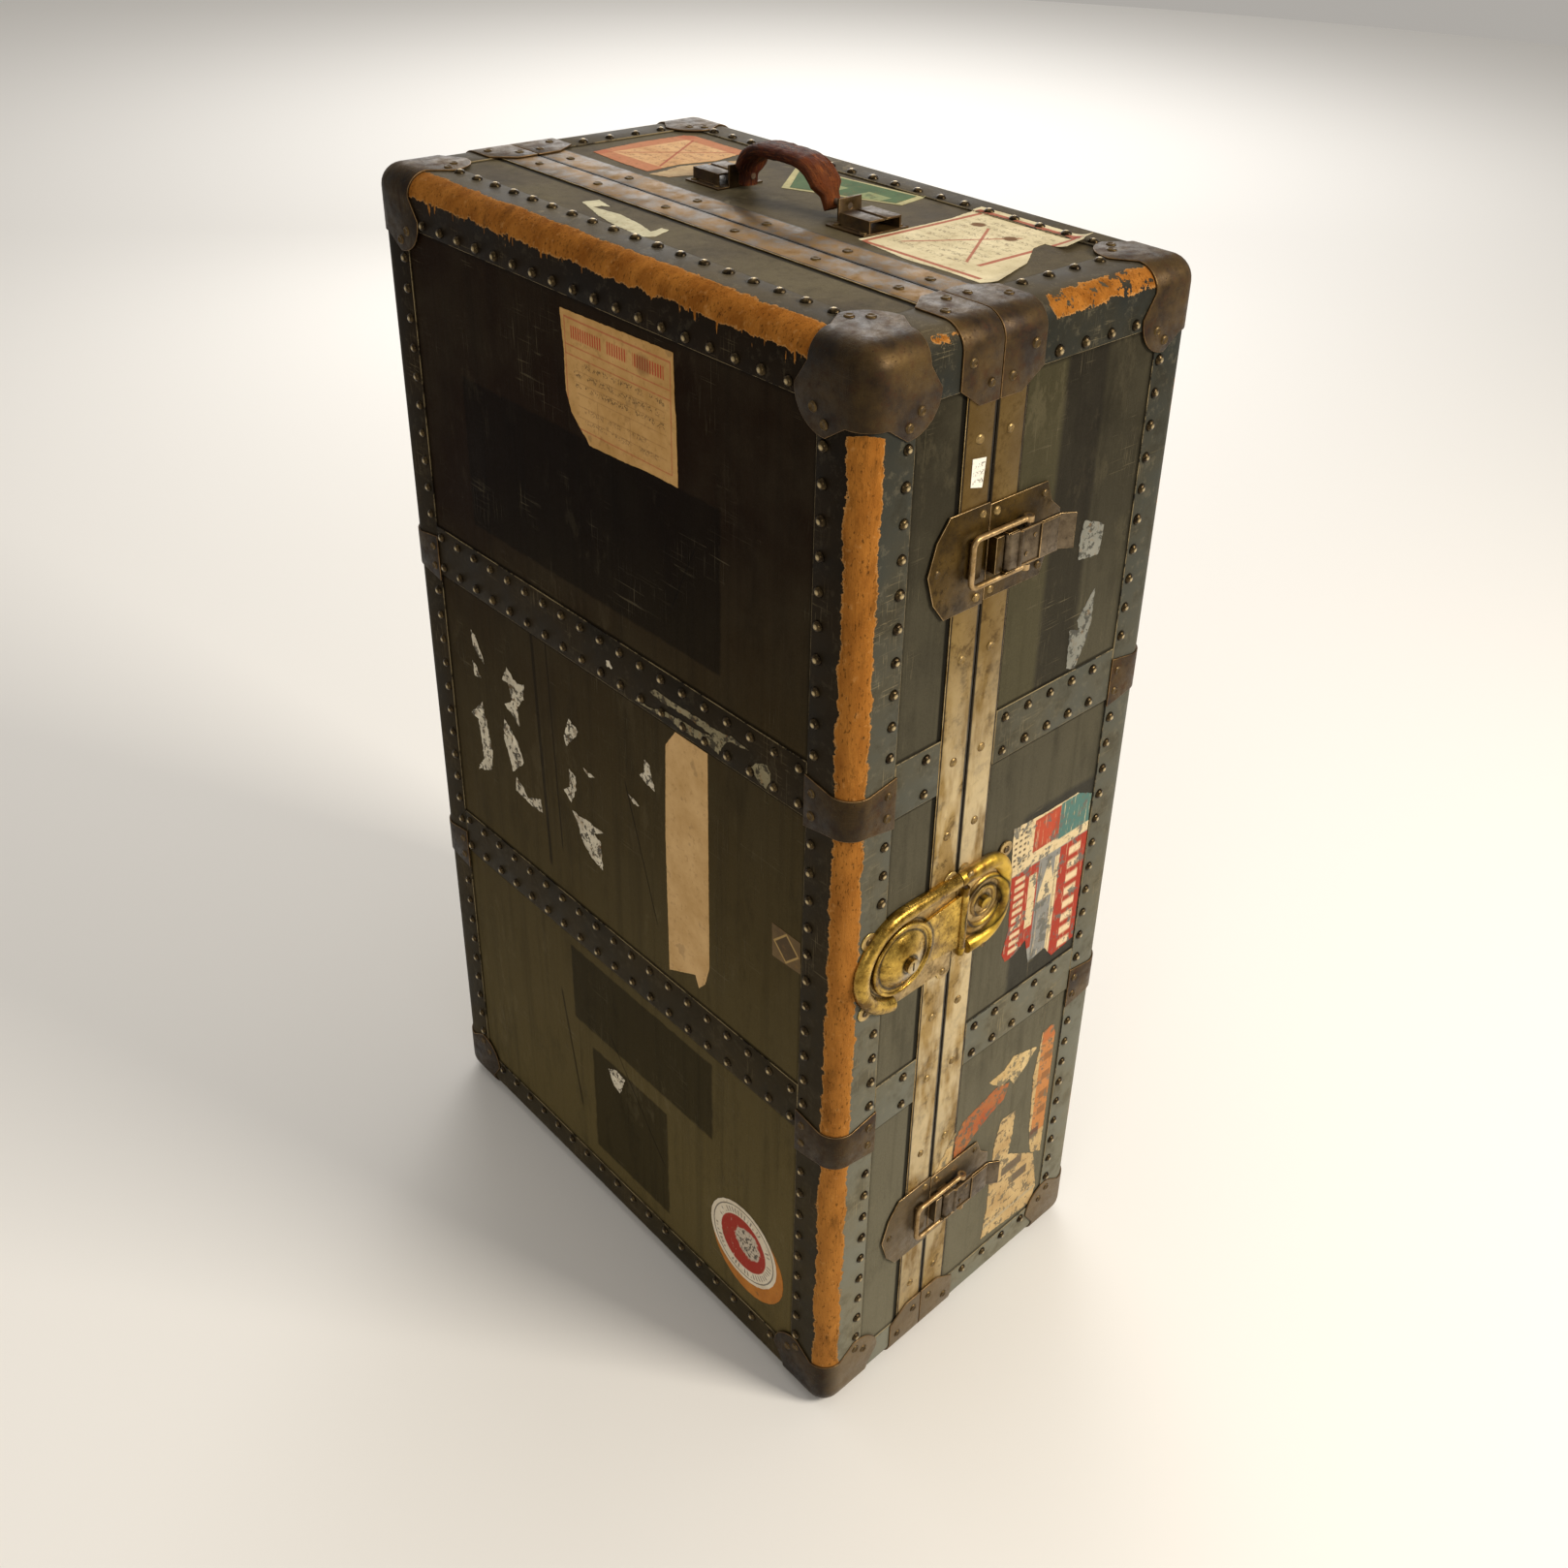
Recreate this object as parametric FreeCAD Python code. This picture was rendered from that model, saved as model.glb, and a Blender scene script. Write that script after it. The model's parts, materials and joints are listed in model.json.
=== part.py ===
import FreeCAD, Part
import math
import os

Vector = FreeCAD.Vector

# A steamer trunk stood on its end, in millimetres.
# +Z runs along the trunk's length, -Y is the lock side, -X is the lid's broad side.
# Every piece is drawn about the seam: the lid fills x < 0 and the body fills x > 0.
# The pieces are moved to the origin, at the middle of the trunk's foot, when they are saved.

# Case
trunk_length = 1016.0
trunk_width = 589.0
lid_depth = 124.0
body_depth = 221.0
edge_radius = 18.0
seam_gap = 1.0
overrun = 30.0

# Wooden boards and their skins, from the outside in
binding_thickness = 1.2
cover_thickness = 1.5
board_thickness = 8.0
lining_thickness = 0.8

# Fibre bindings and cross bands
binding_width = 45.0
binding_reveal = 0.3
band_height = 49.0
band_level_shares = (0.347, 0.661)
band_row_spacing = 31.0

# Steel trim round the seam, corners and bands
valance_width = 31.0
trim_thickness = 1.6
cap_fold_reach = 54.0
cap_reach = 66.0
cap_shoulder = 36.0
lid_clamp_width = 40.0
body_clamp_width = 44.0
clamp_leg = 58.0
clamp_taper = 14.0
edge_clamp_leg = 46.0
edge_clamp_waist = 36.0
edge_clamp_horns = 46.0
edge_clamp_level_shares = (0.323, 0.653)

# Nails and rivets
nail_radius = 4.5
nail_height = 3.2
flat_nail_height = 1.2
nail_inset = 38.0
nail_pitch = 26.8
nail_clearance = 6.0
rivet_radius = 4.0
rivet_height = 1.2
rivet_inset = 8.0
clamp_rivet_shares = (0.25, 0.75)
cap_rivet_shares = ((0.72, 0.72), (0.56, 0.86))
valance_rivet_shares = (0.082, 0.25, 0.339, 0.408, 0.592, 0.66, 0.748, 0.918)
valance_end_rivet_shares = (0.14, 0.28, 0.43, 0.57, 0.72, 0.86)

# Back hinges
hinge_level_shares = (0.16, 0.5, 0.84)
hinge_length = 60.0
hinge_leaf_width = 34.0
hinge_leaf_thickness = 1.6
hinge_barrel_radius = 4.1
hinge_pin_radius = 2.0
hinge_lift = 0.3
knuckle_count = 5
knuckle_gap = 0.3
pin_clearance = 0.05

# Lock plates
lock_level_share = 0.5
lock_plate_thickness = 1.5
lock_roll_radius = 7.0
lid_ring_place = 62.0
lid_ring_radius = 43.0
lid_ring_sweep = 170.0
lock_plate_margin = 4.0
lock_lug_radius = 7.5
body_ring_corner = 26.0
body_ring_reach = 59.0
body_ring_drop = 34.0
body_boss_place = 34.0
body_boss_radius = 23.0
body_boss_wire = 3.0
body_bead_radius = 13.0
body_bead_wire = 2.0
body_hub_radius = 6.0
body_hub_height = 5.0

# Hasp and key plug
hasp_axis_place = 7.0
hasp_axis_height = 5.2
hasp_barrel_radius = 3.4
hasp_pin_radius = 1.6
hasp_lift = 0.5
hasp_barrel_room = 0.5
hasp_thickness = 2.5
hasp_root_width = 54.0
hasp_neck_width = 40.0
hasp_ear_length = 7.0
hasp_ear_gap = 0.3
hasp_disc_radius = 33.0
hasp_rim_wire = 1.8
hasp_dome_radius = 25.0
hasp_dome_height = 9.0
key_plug_radius = 6.5
key_plug_proud = 3.0
key_plug_clearance = 0.06
key_flange_radius = 8.4
key_flange_thickness = 1.5
key_flange_play = 0.3
key_slot_width = 1.6
key_slot_length = 8.0
key_slot_depth = 6.0

# Draw bolts
bolt_level_shares = (0.171, 0.829)
bolt_plate_thickness = 1.6
catch_reach = 60.0
catch_half_height = 40.0
catch_outline_shares = ((0.68, 1), (0.88, 0.6), (1, 0), (0.88, -0.6), (0.68, -1))
catch_hook_near = 9.0
catch_hook_far = 19.0
catch_hook_height = 5.2
catch_hook_half_width = 15.0
base_reach = 80.0
base_half_height = 38.0
base_outline_shares = ((0.78, 1), (0.86, 0.55), (1, 0.3), (1, -0.3), (0.86, -0.55), (0.78, -1))
stop_near = 1.0
stop_far = 9.0
stop_height = 9.5
lever_axis_place = 15.0
lever_axis_height = 8.0
lever_barrel_radius = 4.0
lever_half_width = 14.5
lever_plate_thickness = 2.4
lever_reach = 68.0
finger_length = 12.0
finger_lift_degrees = 32.0
ear_clearance = 0.4
ear_thickness = 1.5
ear_length = 11.0
ear_top = 12.5
lever_pin_radius = 2.0
bail_axis_place = 36.0
bail_wire_radius = 2.25
bail_clearance = 0.6
bail_far = 22.0
bail_corner_radius = 6.0
bail_eye_radius = 3.9
bail_pin_radius = 1.8

# Leather handle on the top end
handle_place = 76.0
handle_axis_height = 12.0
handle_foot_height = 6.0
handle_top_height = 38.0
handle_far_foot = 50.0
handle_near_foot = 58.0
handle_near_shoulder = 34.0
handle_far_bend = 22.0
handle_near_bend = 26.0
strap_width = 30.0
strap_thickness = 13.0
strap_corner = 5.0
strap_foot_width = 16.0
strap_neck_rise = 6.0
strap_flare_rise = 13.0
handle_pin_radius = 2.5
bracket_side_gap = 3.0
bracket_length = 42.0
bracket_width = 48.0
bracket_plate_thickness = 1.6
bracket_ear_thickness = 2.0
bracket_ear_width = 24.0
bracket_ear_top = 19.0
tunnel_width = 34.0
tunnel_height = 11.0
tunnel_setback = 8.0
tunnel_wall = 1.6

# Tray and its cleats, inside the body
tray_depth = 88.0
tray_setback = 4.0
tray_side_clearance = 4.0
tray_top_clearance = 8.0
tray_board = 6.0
tray_seat_gap = 0.3
tray_divider_share = 0.62
cleat_size = 12.0
pull_width = 26.0
pull_length = 48.0
pull_thickness = 2.5

# Sizes worked out from the ones above
half_width = trunk_width / 2
base_level = trim_thickness
top_level = base_level + trunk_length
skin = binding_thickness + cover_thickness
wall = skin + board_thickness
cavity_inset = wall + lining_thickness
half_gap = seam_gap / 2
halves = (("lid", -1, lid_depth), ("body", 1, body_depth))
ends = ((-1, base_level), (1, top_level))


def level_at(share):
    """Height above the foot of a place given as a share of the trunk's length."""
    return base_level + share * trunk_length


def box(x_low, x_high, y_low, y_high, z_low, z_high):
    """A box between two corners, whichever way round each pair is given."""
    low = Vector(min(x_low, x_high), min(y_low, y_high), min(z_low, z_high))
    return Part.makeBox(abs(x_high - x_low), abs(y_high - y_low), abs(z_high - z_low), low)


def fuse(pieces):
    """One solid from pieces that touch or overlap."""
    joined = pieces[0].multiFuse(pieces[1:])
    return joined.removeSplitter()


def rounded_block(grow):
    """The whole closed case, grown or shrunk evenly from the bindings' outer surface."""
    block = box(-lid_depth - grow, body_depth + grow, -half_width - grow, half_width + grow,
                base_level - grow, top_level + grow)
    return block.makeFillet(edge_radius + grow, block.Edges)


def shell(outside, inside):
    """The even skin between two sizes of the rounded case."""
    return rounded_block(outside).cut(rounded_block(inside))


def half_region(side, depth):
    """Everything on one side of the seam."""
    return box(side * half_gap, side * (depth + overrun), -half_width - overrun, half_width + overrun,
               base_level - overrun, top_level + overrun)


def prism(points, direction):
    """A straight prism on a closed outline of straight edges."""
    outline = Part.makePolygon(points + [points[0]])
    return Part.Face(outline).extrude(direction)


def cylinder(radius, start, end):
    """A round bar between two points."""
    run = end - start
    return Part.makeCylinder(radius, run.Length, start, run)


# The nodes and their saving

nodes = {}


def keep(name, pieces):
    """Store a node as one solid or as a group of separate solids."""
    nodes[name] = pieces if isinstance(pieces, list) else [pieces]


# Boards, fibre cover and lining of each half

core = rounded_block(-skin)
cover_shell = shell(-binding_thickness, -skin)
for name, side, depth in halves:
    broad_inner = side * (depth - wall)
    seam = side * half_gap
    broad = box(broad_inner, side * (depth + overrun), -half_width, half_width,
                base_level - overrun, top_level + overrun)
    keep(name + "_broad_board", core.common(broad))
    for end_name, direction, level in (("bottom", -1, base_level), ("top", 1, top_level)):
        end_board = box(seam, broad_inner, -half_width, half_width, level, level - direction * wall)
        keep(name + "_" + end_name + "_board", core.common(end_board))
    for face_name, direction in (("front", -1), ("back", 1)):
        side_board = box(seam, broad_inner, direction * half_width, direction * (half_width - wall),
                         base_level + wall, top_level - wall)
        keep(name + "_" + face_name + "_board", core.common(side_board))
    keep(name + "_cover", cover_shell.common(half_region(side, depth)))
    lining_out = box(seam, broad_inner, wall - half_width, half_width - wall,
                     base_level + wall, top_level - wall)
    lining_in = box(-side * overrun, side * (depth - cavity_inset), cavity_inset - half_width,
                    half_width - cavity_inset, base_level + cavity_inset, top_level - cavity_inset)
    keep(name + "_lining", lining_out.cut(lining_in))

# Fibre bindings along the edges, in strips that butt near the corners

binding_shell = shell(0, -binding_thickness)
for name, side, depth in halves:
    strips = []
    outer_x = side * (depth + overrun)
    inner_x = side * (depth - binding_width)
    valance_x = side * (valance_width + binding_reveal)
    for y_side in (-1, 1):
        outer_y = y_side * (half_width + overrun)
        inner_y = y_side * (half_width - binding_width)
        strips.append(box(outer_x, inner_x, outer_y, inner_y, base_level - overrun, top_level + overrun))
        for direction, level in ends:
            strips.append(box(inner_x - side * binding_reveal, valance_x, outer_y, inner_y,
                              level + direction * overrun, level - direction * binding_width))
    butt_y = half_width - binding_width - binding_reveal
    for direction, level in ends:
        strips.append(box(outer_x, inner_x, -butt_y, butt_y,
                          level + direction * overrun, level - direction * binding_width))
    keep(name + "_bindings", [binding_shell.common(strip) for strip in strips])

# Fibre cross bands: one across the broad side and one on each narrow side, twice

for name, side, depth in halves:
    bands = []
    band_y = half_width - binding_width - binding_reveal
    near_x = side * (valance_width + binding_reveal)
    far_x = side * (depth - binding_width - binding_reveal)
    for share in band_level_shares:
        low = level_at(share) - band_height / 2
        high = low + band_height
        bands.append(box(side * (depth - binding_thickness), side * depth, -band_y, band_y, low, high))
        for y_side in (-1, 1):
            bands.append(box(near_x, far_x, y_side * (half_width - binding_thickness),
                             y_side * half_width, low, high))
    keep(name + "_cross_bands", bands)

# Steel valances: a thin hoop round the mouth of each half

for name, side, depth in halves:
    hoop = box(side * half_gap, side * valance_width, -half_width - overrun, half_width + overrun,
               base_level - overrun, top_level + overrun)
    keep(name + "_valance", binding_shell.common(hoop))

# Steel corner caps with three lobes

trim_shell = shell(trim_thickness, 0)


def lobe(place, inward):
    """One lobe of a cap: place(u, v) turns distances in from the corner into a point outside the case."""
    lines = [(-overrun, cap_shoulder), (-overrun, cap_fold_reach), (edge_radius, cap_fold_reach),
             (cap_shoulder, cap_reach)]
    back = [(cap_reach, cap_shoulder), (cap_fold_reach, edge_radius), (cap_fold_reach, -overrun),
            (-overrun, -overrun), (-overrun, cap_shoulder)]
    round_middle = cap_shoulder + (cap_reach - cap_shoulder) * math.sin(math.radians(45))
    first = Part.makePolygon([place(u, v) for u, v in lines])
    corner = Part.Arc(place(cap_shoulder, cap_reach), place(round_middle, round_middle),
                      place(cap_reach, cap_shoulder)).toShape()
    last = Part.makePolygon([place(u, v) for u, v in back])
    outline = Part.Wire(Part.__sortEdges__(first.Edges + [corner] + last.Edges))
    return Part.Face(outline).extrude(inward)


def corner_cap(side, depth, y_side, end_side, level):
    """A cap over one outer corner, cut from the trim skin by its three lobes."""
    x_corner = side * depth
    y_corner = y_side * half_width
    reach_in = overrun + edge_radius
    on_broad = lobe(lambda u, v: Vector(x_corner + side * overrun, y_corner - y_side * u,
                                        level - end_side * v), Vector(-side * reach_in, 0, 0))
    on_narrow = lobe(lambda u, v: Vector(x_corner - side * u, y_corner + y_side * overrun,
                                         level - end_side * v), Vector(0, -y_side * reach_in, 0))
    on_end = lobe(lambda u, v: Vector(x_corner - side * u, y_corner - y_side * v,
                                      level + end_side * overrun), Vector(0, 0, -end_side * reach_in))
    return trim_shell.common(fuse([on_broad, on_narrow, on_end]))


for name, side, depth in halves:
    keep(name + "_corner_caps", [corner_cap(side, depth, y_side, end_side, level)
                                 for y_side in (-1, 1) for end_side, level in ends])

# Steel clamps over the seam's four corners


def clamp_leg_outline(side, width, place):
    """Outline of one leg: full width down to the taper, then narrowing to the seam."""
    inner = side * half_gap
    outer = side * width
    tip = side * (half_gap + width) / 2
    return [place(inner, -overrun), place(outer, -overrun), place(outer, clamp_leg - clamp_taper),
            place(tip, clamp_leg), place(inner, clamp_leg)]


def seam_clamp(side, width, y_side, end_side, level):
    """A bent strap over one corner of the mouth."""
    reach_in = overrun + edge_radius
    narrow_leg = prism(clamp_leg_outline(
        side, width, lambda x, v: Vector(x, y_side * (half_width + overrun), level - end_side * v)),
        Vector(0, -y_side * reach_in, 0))
    end_leg = prism(clamp_leg_outline(
        side, width, lambda x, v: Vector(x, y_side * (half_width - v), level + end_side * overrun)),
        Vector(0, 0, -end_side * reach_in))
    return trim_shell.common(fuse([narrow_leg, end_leg]))


clamp_widths = {"lid": lid_clamp_width, "body": body_clamp_width}
for name, side, depth in halves:
    keep(name + "_seam_clamps", [seam_clamp(side, clamp_widths[name], y_side, end_side, level)
                                 for y_side in (-1, 1) for end_side, level in ends])

# Steel clamps where the cross bands meet the long edges


def edge_clamp(side, depth, y_side, level):
    """A bow-shaped clamp: narrow over the edge, with horns at the end of each leg."""
    waist = edge_clamp_waist / 2
    horn = edge_clamp_horns / 2
    profile = [(-overrun, -waist), (edge_radius, -waist), (edge_clamp_leg, -horn),
               (edge_clamp_leg, horn), (edge_radius, waist), (-overrun, waist)]
    reach_in = overrun + edge_radius
    x_edge = side * depth
    y_edge = y_side * half_width
    narrow_leg = prism([Vector(x_edge - side * u, y_edge + y_side * overrun, level + v)
                        for u, v in profile], Vector(0, -y_side * reach_in, 0))
    broad_leg = prism([Vector(x_edge + side * overrun, y_edge - y_side * u, level + v)
                       for u, v in profile], Vector(-side * reach_in, 0, 0))
    return trim_shell.common(fuse([narrow_leg, broad_leg]))


for name, side, depth in halves:
    keep(name + "_edge_clamps", [edge_clamp(side, depth, y_side, level_at(share))
                                 for y_side in (-1, 1) for share in edge_clamp_level_shares])

# Nails and rivets: one head of each kind is drawn and then placed

nail_ball = (nail_radius ** 2 + nail_height ** 2) / (2 * nail_height)
nail_cut = math.degrees(math.asin((nail_ball - nail_height) / nail_ball))
nail_head = Part.makeSphere(nail_ball, Vector(0, 0, nail_height - nail_ball), Vector(0, 0, 1),
                            nail_cut, 90, 360)
flat_nail_head = Part.makeCylinder(nail_radius, flat_nail_height)
rivet_head = Part.makeCylinder(rivet_radius, rivet_height)


def placed(head, point, outward):
    """A copy of a head on a point of a face, turned to face outward."""
    copy = head.copy()
    copy.Placement = FreeCAD.Placement(point, FreeCAD.Rotation(Vector(0, 0, 1), outward))
    return copy


def row(low, high):
    """Evenly spaced places from low to high, at about the nail pitch."""
    count = max(1, round((high - low) / nail_pitch))
    return [low + (high - low) * step / count for step in range(count + 1)]


def clear_of(level, fittings, reach):
    """Whether a head at this height misses fittings given by their height and half length."""
    return all(abs(level - place) > half_length + reach for place, half_length in fittings)


lock_plate_half = lid_ring_radius + lock_plate_margin
clamp_places = [(level_at(share), edge_clamp_horns / 2) for share in edge_clamp_level_shares]
lock_places = [(level_at(lock_level_share), lock_plate_half + lock_lug_radius)]
bolt_places = [(level_at(share), catch_half_height) for share in bolt_level_shares]
hinge_places = [(level_at(share), hinge_length / 2) for share in hinge_level_shares]
band_rows = [level_at(share) + step * band_row_spacing / 2
             for share in band_level_shares for step in (-1, 1)]
long_row = row(base_level + cap_reach + nail_clearance, top_level - cap_reach - nail_clearance)
edge_row = [level for level in long_row if clear_of(level, clamp_places, nail_radius)]
lock_row = [level for level in edge_row if clear_of(level, lock_places, nail_radius)]
cross_row = row(cap_reach + nail_clearance - half_width, half_width - cap_reach - nail_clearance)
band_inset = binding_width + nail_radius + nail_clearance / 2
band_row = row(band_inset - half_width, half_width - band_inset)
for name, side, depth in halves:
    outward = Vector(side, 0, 0)
    broad_x = side * depth
    inset_x = side * (depth - nail_inset)
    inset_y = half_width - nail_inset
    heads = []
    for y_side in (-1, 1):
        for level in edge_row:
            heads.append(placed(nail_head, Vector(broad_x, y_side * inset_y, level), outward))
        for level in lock_row if name == "lid" and y_side < 0 else edge_row:
            heads.append(placed(nail_head, Vector(inset_x, y_side * half_width, level), Vector(0, y_side, 0)))
    for end_side, level in ends:
        end_head = nail_head if end_side > 0 else flat_nail_head
        for y in cross_row:
            heads.append(placed(nail_head, Vector(broad_x, y, level - end_side * nail_inset), outward))
            heads.append(placed(end_head, Vector(inset_x, y, level), Vector(0, 0, end_side)))
    for level in band_rows:
        for y in band_row:
            heads.append(placed(nail_head, Vector(broad_x, y, level), outward))
    near_x = clamp_widths[name] + nail_radius + nail_clearance
    far_x = depth - cap_reach - nail_radius - nail_clearance / 2
    first_x = valance_width + nail_radius + nail_clearance
    last_x = depth - binding_width - nail_pitch
    narrow_columns = row(first_x, last_x) if last_x - first_x > nail_pitch else [(first_x + last_x) / 2]
    end_columns = row(near_x + nail_clearance, far_x) if far_x - near_x > nail_pitch else []
    for y_side in (-1, 1):
        for x in narrow_columns:
            for level in band_rows:
                heads.append(placed(nail_head, Vector(side * x, y_side * half_width, level),
                                    Vector(0, y_side, 0)))
        for x in end_columns:
            for end_side, level in ends:
                end_head = nail_head if end_side > 0 else flat_nail_head
                heads.append(placed(nail_head, Vector(side * x, y_side * half_width,
                                                      level - end_side * nail_inset), Vector(0, y_side, 0)))
                heads.append(placed(end_head, Vector(side * x, y_side * inset_y, level),
                                    Vector(0, 0, end_side)))
    keep(name + "_nails", heads)

# Rivets of the valances, caps and clamps; the foot's trim has countersunk ones that don't show

for name, side, depth in halves:
    heads = []
    middle_x = side * (half_gap + valance_width) / 2
    near_x, far_x = [clamp_widths[name] * share for share in clamp_rivet_shares]
    for y_side in (-1, 1):
        outward = Vector(0, y_side, 0)
        face_y = y_side * (half_width + trim_thickness)
        fittings = hinge_places if y_side > 0 else lock_places + bolt_places
        for level in [level_at(share) for share in valance_rivet_shares]:
            if clear_of(level, fittings, rivet_radius):
                heads.append(placed(rivet_head, Vector(middle_x, y_side * half_width, level), outward))
        for end_side, level in ends:
            leg = level - end_side * (clamp_leg - clamp_taper)
            near_edge = level - end_side * (edge_radius + rivet_inset)
            heads.append(placed(rivet_head, Vector(side * near_x, face_y, leg), outward))
            heads.append(placed(rivet_head, Vector(side * far_x, face_y, near_edge), outward))
        for share in edge_clamp_level_shares:
            for step in (-1, 1):
                level = level_at(share) + step * (edge_clamp_waist / 2 - rivet_inset)
                leg_x = side * (depth - edge_clamp_leg + rivet_inset)
                leg_y = y_side * (half_width - edge_clamp_leg + rivet_inset)
                heads.append(placed(rivet_head, Vector(leg_x, face_y, level), outward))
                heads.append(placed(rivet_head, Vector(side * (depth + trim_thickness), leg_y, level),
                                    Vector(side, 0, 0)))
        for end_side, level in ends:
            for u_share, v_share in cap_rivet_shares:
                u = cap_reach * u_share
                v = cap_reach * v_share
                heads.append(placed(rivet_head, Vector(side * (depth + trim_thickness),
                                                       y_side * (half_width - u), level - end_side * v),
                                    Vector(side, 0, 0)))
                heads.append(placed(rivet_head, Vector(side * (depth - u), face_y, level - end_side * v),
                                    outward))
    face_z = top_level + trim_thickness
    up = Vector(0, 0, 1)
    for y_side in (-1, 1):
        for u_share, v_share in cap_rivet_shares:
            heads.append(placed(rivet_head, Vector(side * (depth - cap_reach * u_share),
                                                   y_side * (half_width - cap_reach * v_share), face_z), up))
        leg = y_side * (half_width - clamp_leg + clamp_taper)
        near_edge = y_side * (half_width - edge_radius - rivet_inset)
        heads.append(placed(rivet_head, Vector(side * near_x, leg, face_z), up))
        heads.append(placed(rivet_head, Vector(side * far_x, near_edge, face_z), up))
    for share in valance_end_rivet_shares:
        heads.append(placed(rivet_head, Vector(middle_x, (share - 1 / 2) * trunk_width, top_level), up))
    keep(name + "_rivets", heads)

# Fittings are drawn flat, facing +Z, with y along the trunk, and then stood on the case


def on_front(piece, level):
    """Stand a fitting on the lock side at a height."""
    turned = piece.copy()
    turned.rotate(Vector(0, 0, 0), Vector(1, 0, 0), 90)
    turned.translate(Vector(0, -half_width, level))
    return turned


def on_back(piece, level):
    """Stand a fitting on the hinge side at a height."""
    turned = piece.copy()
    turned.rotate(Vector(0, 0, 0), Vector(1, 0, 0), -90)
    turned.translate(Vector(0, half_width, level))
    return turned


def below(level):
    """Everything behind a level of a fitting."""
    return box(-trunk_width, trunk_width, -trunk_width, trunk_width, level - overrun, level)


def plate(points, thickness):
    """A flat plate on an outline of straight edges, its back on the case."""
    return prism([Vector(x, y, 0) for x, y in points], Vector(0, 0, thickness))


# Back hinges

hinge_axis_height = hinge_barrel_radius + hinge_lift
knuckle_pitch = hinge_length / knuckle_count
leaf_start = hinge_barrel_radius + hinge_lift


def hinge_leaf(side, first_knuckle):
    """A leaf with its share of the knuckles, bored for the pin."""
    pieces = [box(side * leaf_start, side * (leaf_start + hinge_leaf_width), -hinge_length / 2,
                  hinge_length / 2, 0, hinge_leaf_thickness)]
    for index in range(first_knuckle, knuckle_count, 2):
        low = -hinge_length / 2 + index * knuckle_pitch + knuckle_gap / 2
        high = low + knuckle_pitch - knuckle_gap
        pieces.append(cylinder(hinge_barrel_radius, Vector(0, low, hinge_axis_height),
                               Vector(0, high, hinge_axis_height)))
        pieces.append(box(0, side * leaf_start, low, high, hinge_lift, hinge_axis_height))
        pieces.append(box(side * leaf_start, side * (leaf_start + hinge_leaf_thickness), low, high,
                          0, hinge_axis_height))
    bore = cylinder(hinge_pin_radius + pin_clearance, Vector(0, -hinge_length, hinge_axis_height),
                    Vector(0, hinge_length, hinge_axis_height))
    return fuse(pieces).cut(bore)


hinge_pin = cylinder(hinge_pin_radius, Vector(0, -hinge_length / 2, hinge_axis_height),
                     Vector(0, hinge_length / 2, hinge_axis_height))
hinge_levels = [level_at(share) for share in hinge_level_shares]
keep("lid_hinge_leaves", [on_back(hinge_leaf(-1, 1), level) for level in hinge_levels])
keep("body_hinge_leaves", [on_back(hinge_leaf(1, 0), level) for level in hinge_levels])
keep("hinge_pins", [on_back(hinge_pin, level) for level in hinge_levels])

# Lock plates with a thick rolled border

lock_level = level_at(lock_level_share)


def line(start, end):
    """A straight edge of a path in the plate's plane."""
    return Part.LineSegment(Vector(start[0], start[1], lock_plate_thickness),
                            Vector(end[0], end[1], lock_plate_thickness)).toShape()


def turn(centre, radius, start, end):
    """A round edge of a path, between two angles in degrees."""
    marks = []
    for degrees in (start, (start + end) / 2, end):
        angle = math.radians(degrees)
        marks.append(Vector(centre[0] + radius * math.cos(angle), centre[1] + radius * math.sin(angle),
                            lock_plate_thickness))
    return Part.Arc(marks[0], marks[1], marks[2]).toShape()


def roll(edges, start, heading):
    """A half-round roll swept along a flat path from its start point."""
    point = Vector(start[0], start[1], lock_plate_thickness)
    ring = Part.Wire(Part.makeCircle(lock_roll_radius, point, heading))
    swept = Part.Wire(edges).makePipeShell([ring], True, False)
    return swept.cut(below(0))


sweep_start = 90 + lid_ring_sweep
ring_start = math.radians(sweep_start)
lid_roll = roll([turn((-lid_ring_place, 0), lid_ring_radius, sweep_start, 180),
                 turn((-lid_ring_place, 0), lid_ring_radius, 180, 90),
                 line((-lid_ring_place, lid_ring_radius), (-half_gap, lid_ring_radius))],
                (-lid_ring_place + lid_ring_radius * math.cos(ring_start),
                 lid_ring_radius * math.sin(ring_start)),
                Vector(math.sin(ring_start), -math.cos(ring_start), 0))
lid_plate = [box(-lid_ring_place, -half_gap, -lock_plate_half, lock_plate_half, 0, lock_plate_thickness),
             Part.makeCylinder(lock_plate_half, lock_plate_thickness, Vector(-lid_ring_place, 0, 0))]
lug_lean = lock_lug_radius + half_gap
diagonal = (lock_plate_half + lock_lug_radius / 2) * math.sin(math.radians(45))
lid_lugs = [(-lug_lean, lock_plate_half), (-lug_lean, -lock_plate_half),
            (-lid_ring_place - diagonal, diagonal), (-lid_ring_place - diagonal, -diagonal)]
for x, y in lid_lugs:
    lid_plate.append(Part.makeCylinder(lock_lug_radius, lock_plate_thickness, Vector(x, y, 0)))
lid_plate = fuse(lid_plate)
keep("lid_lock_plate", on_front(lid_plate, lock_level))
keep("lid_lock_border", on_front(lid_roll.cut(lid_plate), lock_level))

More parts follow.
